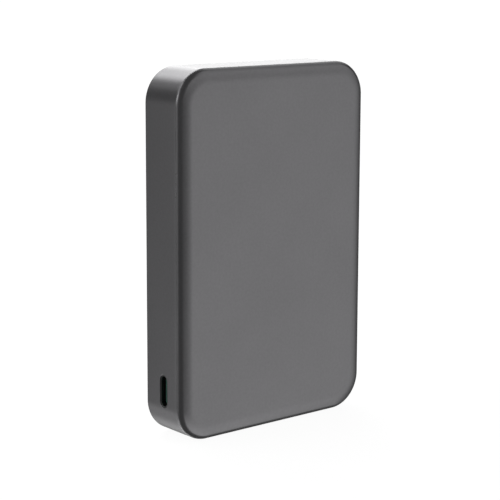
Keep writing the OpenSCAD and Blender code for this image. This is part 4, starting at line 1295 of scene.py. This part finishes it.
def build_wires():
    for node in ("lead_positive", "lead_negative"):
        p = lead_points(node)
        path = filleted(p, 1.6, 9, 1.4)
        bm = bmesh.new()
        tube(bm, path, 0.65, 18)
        f = len(bm.faces)
        # bare ends with solder
        a, b = Vector(p[0]), Vector(p[-1])
        d0 = (Vector(p[0]) - Vector(p[1])).normalized()
        tube(bm, [a - d0 * 0.4, a + d0 * 0.1, a + d0 * 0.45], 0.42, 12)
        tube(bm, [b + Vector((0.4, 0, 0)), b, b + Vector((-0.9, 0, 0))], 0.42, 12)
        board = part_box("main_board")[0].y / MM
        rod_bm(bm, [(1.15, board - 0.012), (1.1, board - 0.2), (0.9, board - 0.55), (0.62, board - 0.95), (0.35, board - 1.25), (0.12, board - 1.36)], (25.15, 0, p[-1][2]), "y", 28)
        bm.faces.ensure_lookup_table()
        for i in range(f, len(bm.faces)):
            bm.faces[i].material_index = 1
        piece(node.replace("lead", "cell_wire"), bm, node, mats=[MAT["wire_red" if node == "lead_positive" else "wire_black"], TIN], angle=45, weighted=False)
    # coil leads
    bm = bmesh.new()
    specs = []
    web0, web1 = WEB0, WEB1
    slot_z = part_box("insulation_sheet")[0].z / MM + 0.45
    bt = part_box("main_board")[1].y / MM
    for x in (3.6, 5.4):
        path = filleted([(x, web1 + 1.1, COIL_Z - 21.4), (x, web1 + 1.1, slot_z + 1.2), (x, web0 - 1.3, slot_z - 1.6), (x, bt + 0.6, 24)], 1.5, 8, 0.8)
        _, n, along, vs = tube(bm, path, 0.45, 14)
        specs.append((n, along, vs))
    wire_uv(bm, specs)
    piece("coil_lead_pair", bm, "coil_leads", angle=45, weighted=False)
    # coil: one flat spiral
    lo, hi = (tuple(c / MM for c in p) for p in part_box("charging_coil"))
    ro = (hi[0] - lo[0]) / 2 - 0.5
    yc = (lo[1] + hi[1]) / 2
    turns, pitch = 11, 0.96
    r0 = ro - (turns - 1) * pitch
    path = []
    steps = 96
    for k in range(turns * steps - steps // 12):
        a = 2 * math.pi * k / steps
        r = r0 + pitch * max(0.0, (k / steps) - 0.5) * (turns - 1) / (turns - 0.5 - 1.0 / 12 - 0.5 + 0.5)
        r = min(r, ro)
        path.append(Vector((r * math.cos(a - 1.2), yc, COIL_Z + r * math.sin(a - 1.2))))
    bm = bmesh.new()
    _, n, along, vs = tube(bm, path, 0.47, 12)
    wire_uv(bm, [(n, along, vs)])
    piece("coil_winding", bm, "charging_coil", angle=60, weighted=False)
    # sensors
    lo, hi = (tuple(c / MM for c in p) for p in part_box("cell_thermistor"))
    bm = bmesh.new()
    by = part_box("main_board")[0].y / MM
    prof = [(0.0001, by - 1.02)] + [(0.5 * math.sin(math.radians(a)), by - 0.55 - 0.45 * math.cos(math.radians(a))) for a in (20, 40, 60, 80, 100, 120, 140, 160)] + [(0.0001, by - 0.1)]
    rod_bm(bm, prof, (-15, 0, hi[2] - 0.5), "y", 24)
    f = len(bm.faces)
    for s in (-0.28, 0.28):
        tube(bm, filleted([(-15 + s, by - 0.48, hi[2] - 0.6), (-15 + s, by - 0.48, lo[2] + 0.6), (-15 + s * 1.6, by - 0.12, lo[2] + 0.1)], 0.3, 5, 0.4), 0.11, 10)
    bm.faces.ensure_lookup_table()
    for i in range(f, len(bm.faces)):
        bm.faces[i].material_index = 1
    piece("cell_sensor", bm, "cell_thermistor", mats=[MAT["sensor_epoxy"], TIN], angle=50, weighted=False)
    lo, hi = (tuple(c / MM for c in p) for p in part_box("coil_thermistor"))
    bm = bmesh.new()
    y0, y1 = WEB1 + 0.1, WEB1 + 1.0
    prof = [(0.0001, y0)] + [(0.8 * math.sin(math.radians(a)) ** 0.7, (y0 + y1) / 2 - 0.45 * math.cos(math.radians(a))) for a in (15, 35, 55, 75, 90, 105, 125, 145, 165)] + [(0.0001, y1)]
    rod_bm(bm, prof, (0, 0, COIL_Z), "y", 28)
    f = len(bm.faces)
    for x in (-0.4, 0.4):
        tube(bm, filleted([(x * 0.6, WEB1 + 0.34, COIL_Z - 0.4), (x, WEB1 + 0.32, COIL_Z - 2), (x, WEB1 + 0.32, slot_z + 0.12), (x, WEB0 - 0.5, slot_z + 0.12), (x, WEB0 - 0.5, 26.5), (x, bt + 0.14, 26.5)], 0.3, 5, 1.5), 0.12, 8)
    bm.faces.ensure_lookup_table()
    for i in range(f, len(bm.faces)):
        bm.faces[i].material_index = 1
    piece("coil_sensor", bm, "coil_thermistor", mats=[MAT["sensor_epoxy"], COPPER], angle=50, weighted=False)


# ------------------------------------------------------------------ magnets, sheets and pads
def build_magnets():
    lo, hi = (tuple(c / MM for c in p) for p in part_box("magnet_ring"))
    y0, y1 = lo[1], hi[1]
    ro = (hi[0] - lo[0]) / 2
    ri = ro - 3.8
    count = 18
    pitch = 328 / count
    bm = bmesh.new()
    q = 0.12
    for i in range(count):
        a0 = -74 + i * pitch + 0.5
        a1 = a0 + pitch - 1
        # rings of a rounded section across the sector, its two end faces eased
        rings = []
        m = 12
        for k, (t, inset) in enumerate([(0.0, q), (0.004, q * 0.4), (0.012, 0.0)] + [(0.012 + 0.976 * j / m, 0.0) for j in range(1, m)] + [(0.988, 0.0), (0.996, q * 0.4), (1.0, q)]):
            a = math.radians(a0 + (a1 - a0) * t)
            sec = []
            for cy, cr, b0 in ((y1 - q, ro - q, 0), (y1 - q, ri + q, 90), (y0 + q, ri + q, 180), (y0 + q, ro - q, 270)):
                for j in range(4):
                    b = math.radians(b0 + 30 * j)
                    rr = cr + (q - inset * 0.0) * math.cos(b)
                    yy = cy + q * math.sin(b)
                    rr = min(max(rr, ri + inset), ro - inset)
                    yy = min(max(yy, y0 + inset), y1 - inset)
                    sec.append((rr * math.cos(a), yy, COIL_Z + rr * math.sin(a)))
            rings.append(sec)
        loft(bm, rings)
    piece("magnet_segments", bm, "magnet_ring", angle=35)
    lo, hi = (tuple(c / MM for c in p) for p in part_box("alignment_magnet"))
    bm = bmesh.new()
    slab_y(bm, 0, (lo[2] + hi[2]) / 2, hi[0] - lo[0], hi[2] - lo[2], 0.6, soft_edge(lo[1], hi[1], 0.12, 4), n=8, m=3)
    piece("alignment_bar_magnet", bm, "alignment_magnet", angle=35)
    lo, hi = (tuple(c / MM for c in p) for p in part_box("steel_ring"))
    ro = (hi[0] - lo[0]) / 2
    ri = ro - 4.0
    bm = bmesh.new()
    e = 0.04
    lathe_bm(bm, [(ri, lo[1] + e), (ri + e, lo[1]), (ro - e, lo[1]), (ro, lo[1] + e), (ro, hi[1] - e), (ro - e, hi[1]), (ri + e, hi[1]), (ri, hi[1] - e)], (0, 0, COIL_Z), "y", 150, -75, 255)
    piece("shunt_ring", bm, "steel_ring", angle=35)


def build_sheets():
    # foam pad: soft rims and a faint quilting where the cell presses it
    lo, hi = (tuple(c / MM for c in p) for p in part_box("foam_pad"))
    cz = (lo[2] + hi[2]) / 2

    def press(x, y, z):
        s = 1 if y > (lo[1] + hi[1]) / 2 else -1
        return -s * 0.018 * (0.5 + 0.5 * math.sin(x * 0.9 + 0.4) * math.sin(z * 0.8))
    bm = bmesh.new()
    pillow(bm, 0, cz, hi[0] - lo[0], hi[2] - lo[2], 3.0, soft_edge(lo[1] + 0.03, hi[1] - 0.03, 0.13, 4), 0.028, wave=press, n=10, m=22, steps=(0.98, 0.94, 0.88, 0.8, 0.7, 0.58, 0.44, 0.28, 0.1))
    piece("cell_foam_pad", bm, "foam_pad", angle=60, weighted=False)
    for node, name, r, q in (("cell_tape", "cell_bond_tape", 2.0, 0.03), ("heat_sheet", "graphite_heat_sheet", 2.0, 0.04)):
        lo, hi = (tuple(c / MM for c in p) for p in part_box(node))
        cz = (lo[2] + hi[2]) / 2
        yy = (lo[1] + hi[1]) / 2

        def ripple(x, y, z, yy=yy):
            return 0.006 * math.sin(x * 0.35 + z * 0.22) * (1 if y > yy else 1)
        bm = bmesh.new()
        pillow(bm, 0, cz, hi[0] - lo[0], hi[2] - lo[2], r, soft_edge(lo[1] + 0.012, hi[1] - 0.012, q, 2), 0.003, wave=ripple, n=8, m=16, steps=(0.96, 0.86, 0.7, 0.5, 0.25, 0.08))
        piece(name, bm, node, angle=50, weighted=False)


def finish_cad(node, bevel=0.04, angle=32.0):
    """A CAD node whose shape is right keeps it: welded, with fine eased edges and its own material."""
    o = frame["nodes"][node]
    slot = next(s["material_slot"] for s in frame["record"]["subparts"] if s["node"] == node)
    assign(o, MAT[slot])
    w = o.modifiers.new("weld", "WELD")
    w.merge_threshold = 2e-6
    b = o.modifiers.new("eased", "BEVEL")
    b.width = bevel * MM
    b.segments = 2
    b.limit_method = "ANGLE"
    b.angle_limit = math.radians(angle)
    b.use_clamp_overlap = True
    b.harden_normals = False
    n = o.modifiers.new("weighted", "WEIGHTED_NORMAL")
    n.keep_sharp = False
    n.weight = 70


build_rear_cover()
build_charge_ring()
build_button()
build_lights()
build_port()
build_screws()
build_board_parts()
build_cells()
build_wires()
build_magnets()
build_sheets()
for node, bv in (("rear_gasket", 0.03), ("main_board", 0.04), ("tact_switch_body", 0.06), ("protection_board", 0.04), ("insulation_sheet", 0.02), ("ferrite_sheet", 0.04)):
    finish_cad(node, bv)


# ------------------------------------------------------------------ floor
def build_floor():
    bm = bmesh.new()
    n = 48
    size = 2400.0
    for i in range(n + 1):
        for j in range(n + 1):
            bm.verts.new((size * (i / n - 0.5), size * (j / n - 0.5), 0.0))
    bm.verts.ensure_lookup_table()
    for i in range(n):
        for j in range(n):
            a = i * (n + 1) + j
            bm.faces.new((bm.verts[a], bm.verts[a + n + 1], bm.verts[a + n + 2], bm.verts[a + 1]))
    bmesh.ops.translate(bm, vec=(0, 0, -0.02), verts=bm.verts)
    bmesh.ops.scale(bm, vec=(MM, MM, MM), verts=bm.verts)
    me = bpy.data.meshes.new("floor")
    bm.to_mesh(me)
    bm.free()
    ob = bpy.data.objects.new("floor", me)
    bpy.context.scene.collection.objects.link(ob)
    OBJ.append(ob)
    m, nt, b = nodes_of("floor_paper")
    v = coords(nt)
    f = noise(nt, v, 900.0, 3.0, 0.5)
    c = ramp(nt, noise(nt, v, 6.0, 2.0, 0.5), [(0.3, (0.88, 0.88, 0.88)), (0.7, (0.90, 0.90, 0.90))])
    link(nt, c, b.inputs["Base Color"])
    b.inputs["Roughness"].default_value = 0.9
    b.inputs["Specular IOR Level"].default_value = 0.1
    link(nt, bump(nt, f, 0.05, 0.0001), b.inputs["Normal"])
    # a lit sheet: the camera sees it almost white with a faint contact shadow, and the light below shines through it
    lit = nt.nodes.new("ShaderNodeBsdfTransparent")
    pale = nt.nodes.new("ShaderNodeBsdfDiffuse")
    pale.inputs["Color"].default_value = (0.16, 0.16, 0.16, 1)
    white = nt.nodes.new("ShaderNodeEmission")
    white.inputs["Strength"].default_value = 0.94
    seen = nt.nodes.new("ShaderNodeAddShader")
    link(nt, pale.outputs[0], seen.inputs[0])
    link(nt, white.outputs[0], seen.inputs[1])
    lp = nt.nodes.new("ShaderNodeLightPath")
    mix = nt.nodes.new("ShaderNodeMixShader")
    out = next(x for x in nt.nodes if x.type == "OUTPUT_MATERIAL")
    link(nt, lp.outputs["Is Camera Ray"], mix.inputs["Fac"])
    link(nt, lit.outputs[0], mix.inputs[1])
    link(nt, seen.outputs[0], mix.inputs[2])
    link(nt, mix.outputs[0], out.inputs["Surface"])
    me.materials.append(m)
    return ob


build_floor()

# ------------------------------------------------------------------ world light
# soft panels round the object: azimuth, elevation, half width, half height, edge softness (degrees), radiance
PANELS = [
    (78, 44, 17, 13, 7, 3.30),
    (50, 18, 14, 12, 6, 2.63),
    (170, 18, 14, 12, 6, 2.12),
    (95, -52, 22, 10, 5, 2.07),
    (138, 44, 17, 13, 7, 1.79),
    (300, -38, 20, 14, 7, 1.16),
    (140, -38, 20, 14, 7, 1.09),
    (318, -10, 15, 14, 3, 0.71),
    (18, 44, 17, 13, 7, 0.71),
    (140, -10, 10, 13, 5, 0.66),
    (320, 18, 14, 12, 6, 0.66),
    (318, 44, 17, 13, 7, 0.57),
    (290, 18, 14, 12, 6, 0.52),
    (180, -10, 10, 13, 5, 0.35),
    (300, -10, 10, 13, 5, 0.32),
]
BASE_LIGHT = 0.150


def build_world():
    w = bpy.data.worlds.new("studio")
    bpy.context.scene.world = w
    w.use_nodes = True
    nt = w.node_tree
    bg = nt.nodes["Background"]
    out = next(x for x in nt.nodes if x.type == "OUTPUT_WORLD")
    geo = nt.nodes.new("ShaderNodeTexCoord")
    nrm = nt.nodes.new("ShaderNodeVectorMath")
    nrm.operation = "NORMALIZE"
    link(nt, geo.outputs["Generated"], nrm.inputs[0])

    def along(v):
        dot = nt.nodes.new("ShaderNodeVectorMath")
        dot.operation = "DOT_PRODUCT"
        link(nt, nrm.outputs[0], dot.inputs[0])
        dot.inputs[1].default_value = v
        return dot.outputs["Value"]

    def fade(v, half, soft):
        mr = nt.nodes.new("ShaderNodeMapRange")
        mr.interpolation_type = "SMOOTHSTEP"
        mr.inputs["From Min"].default_value = math.tan(math.radians(max(half - soft, 0.1)))
        mr.inputs["From Max"].default_value = math.tan(math.radians(half + soft))
        mr.inputs["To Min"].default_value = 1.0
        mr.inputs["To Max"].default_value = 0.0
        link(nt, mathn(nt, "ABSOLUTE", v), mr.inputs["Value"])
        return mr.outputs["Result"]

    total = None
    for az, el, hw, hh, soft, power in PANELS:
        a, e = math.radians(az), math.radians(el)
        c = Vector((math.cos(a) * math.cos(e), math.sin(a) * math.cos(e), math.sin(e)))
        r = Vector((-math.sin(a), math.cos(a), 0.0))
        u = c.cross(r)
        ahead = along(c)
        deep = mathn(nt, "MAXIMUM", ahead, 0.02)
        lit = mathn(nt, "MULTIPLY", fade(mathn(nt, "DIVIDE", along(r), deep), hw, soft), fade(mathn(nt, "DIVIDE", along(u), deep), hh, soft))
        lit = mathn(nt, "MULTIPLY", lit, mathn(nt, "GREATER_THAN", ahead, 0.03))
        lit = mathn(nt, "MULTIPLY", lit, power)
        total = lit if total is None else mathn(nt, "ADD", total, lit)
    total = mathn(nt, "ADD", total, BASE_LIGHT)
    link(nt, total, bg.inputs["Strength"])
    bg.inputs["Color"].default_value = (1, 1, 1, 1)
    # what the camera sees behind the object is plain white
    lp = nt.nodes.new("ShaderNodeLightPath")
    white = nt.nodes.new("ShaderNodeBackground")
    white.inputs["Color"].default_value = (1, 1, 1, 1)
    white.inputs["Strength"].default_value = 1.05
    mix = nt.nodes.new("ShaderNodeMixShader")
    link(nt, lp.outputs["Is Camera Ray"], mix.inputs["Fac"])
    link(nt, bg.outputs[0], mix.inputs[1])
    link(nt, white.outputs[0], mix.inputs[2])
    link(nt, mix.outputs[0], out.inputs["Surface"])


build_world()

# ------------------------------------------------------------------ camera
AZ, EL, ROLL = math.radians(-39.649), math.radians(10.606), math.radians(0.245)
LOOK = math.radians(9.371)
DIST = 4.3396 * HZ * MM
centre = Vector((0, (YF + YR) / 2 * MM, ZC * MM))
back = Vector((math.sin(AZ) * math.cos(EL), -math.cos(AZ) * math.cos(EL), math.sin(EL)))
gaze = -Vector((math.sin(AZ) * math.cos(LOOK), -math.cos(AZ) * math.cos(LOOK), math.sin(LOOK)))
cd = bpy.data.cameras.new("camera")
cam = bpy.data.objects.new("camera", cd)
bpy.context.scene.collection.objects.link(cam)
cam.location = centre + back * DIST
cam.rotation_mode = "QUATERNION"
cam.rotation_quaternion = gaze.to_track_quat("-Z", "Y") @ Matrix.Rotation(ROLL, 4, "Z").to_quaternion()
cd.sensor_width = 36.0
cd.lens = 1564.0 / 500 * 36
cd.shift_x = -7.702 / 500
cd.shift_y = -40.0 / 500
cd.clip_start, cd.clip_end = 0.01, 20
bpy.context.scene.camera = cam

bpy.context.scene.view_settings.view_transform = "Standard"
bpy.context.scene.view_settings.look = "None"

bpy.context.view_layer.update()
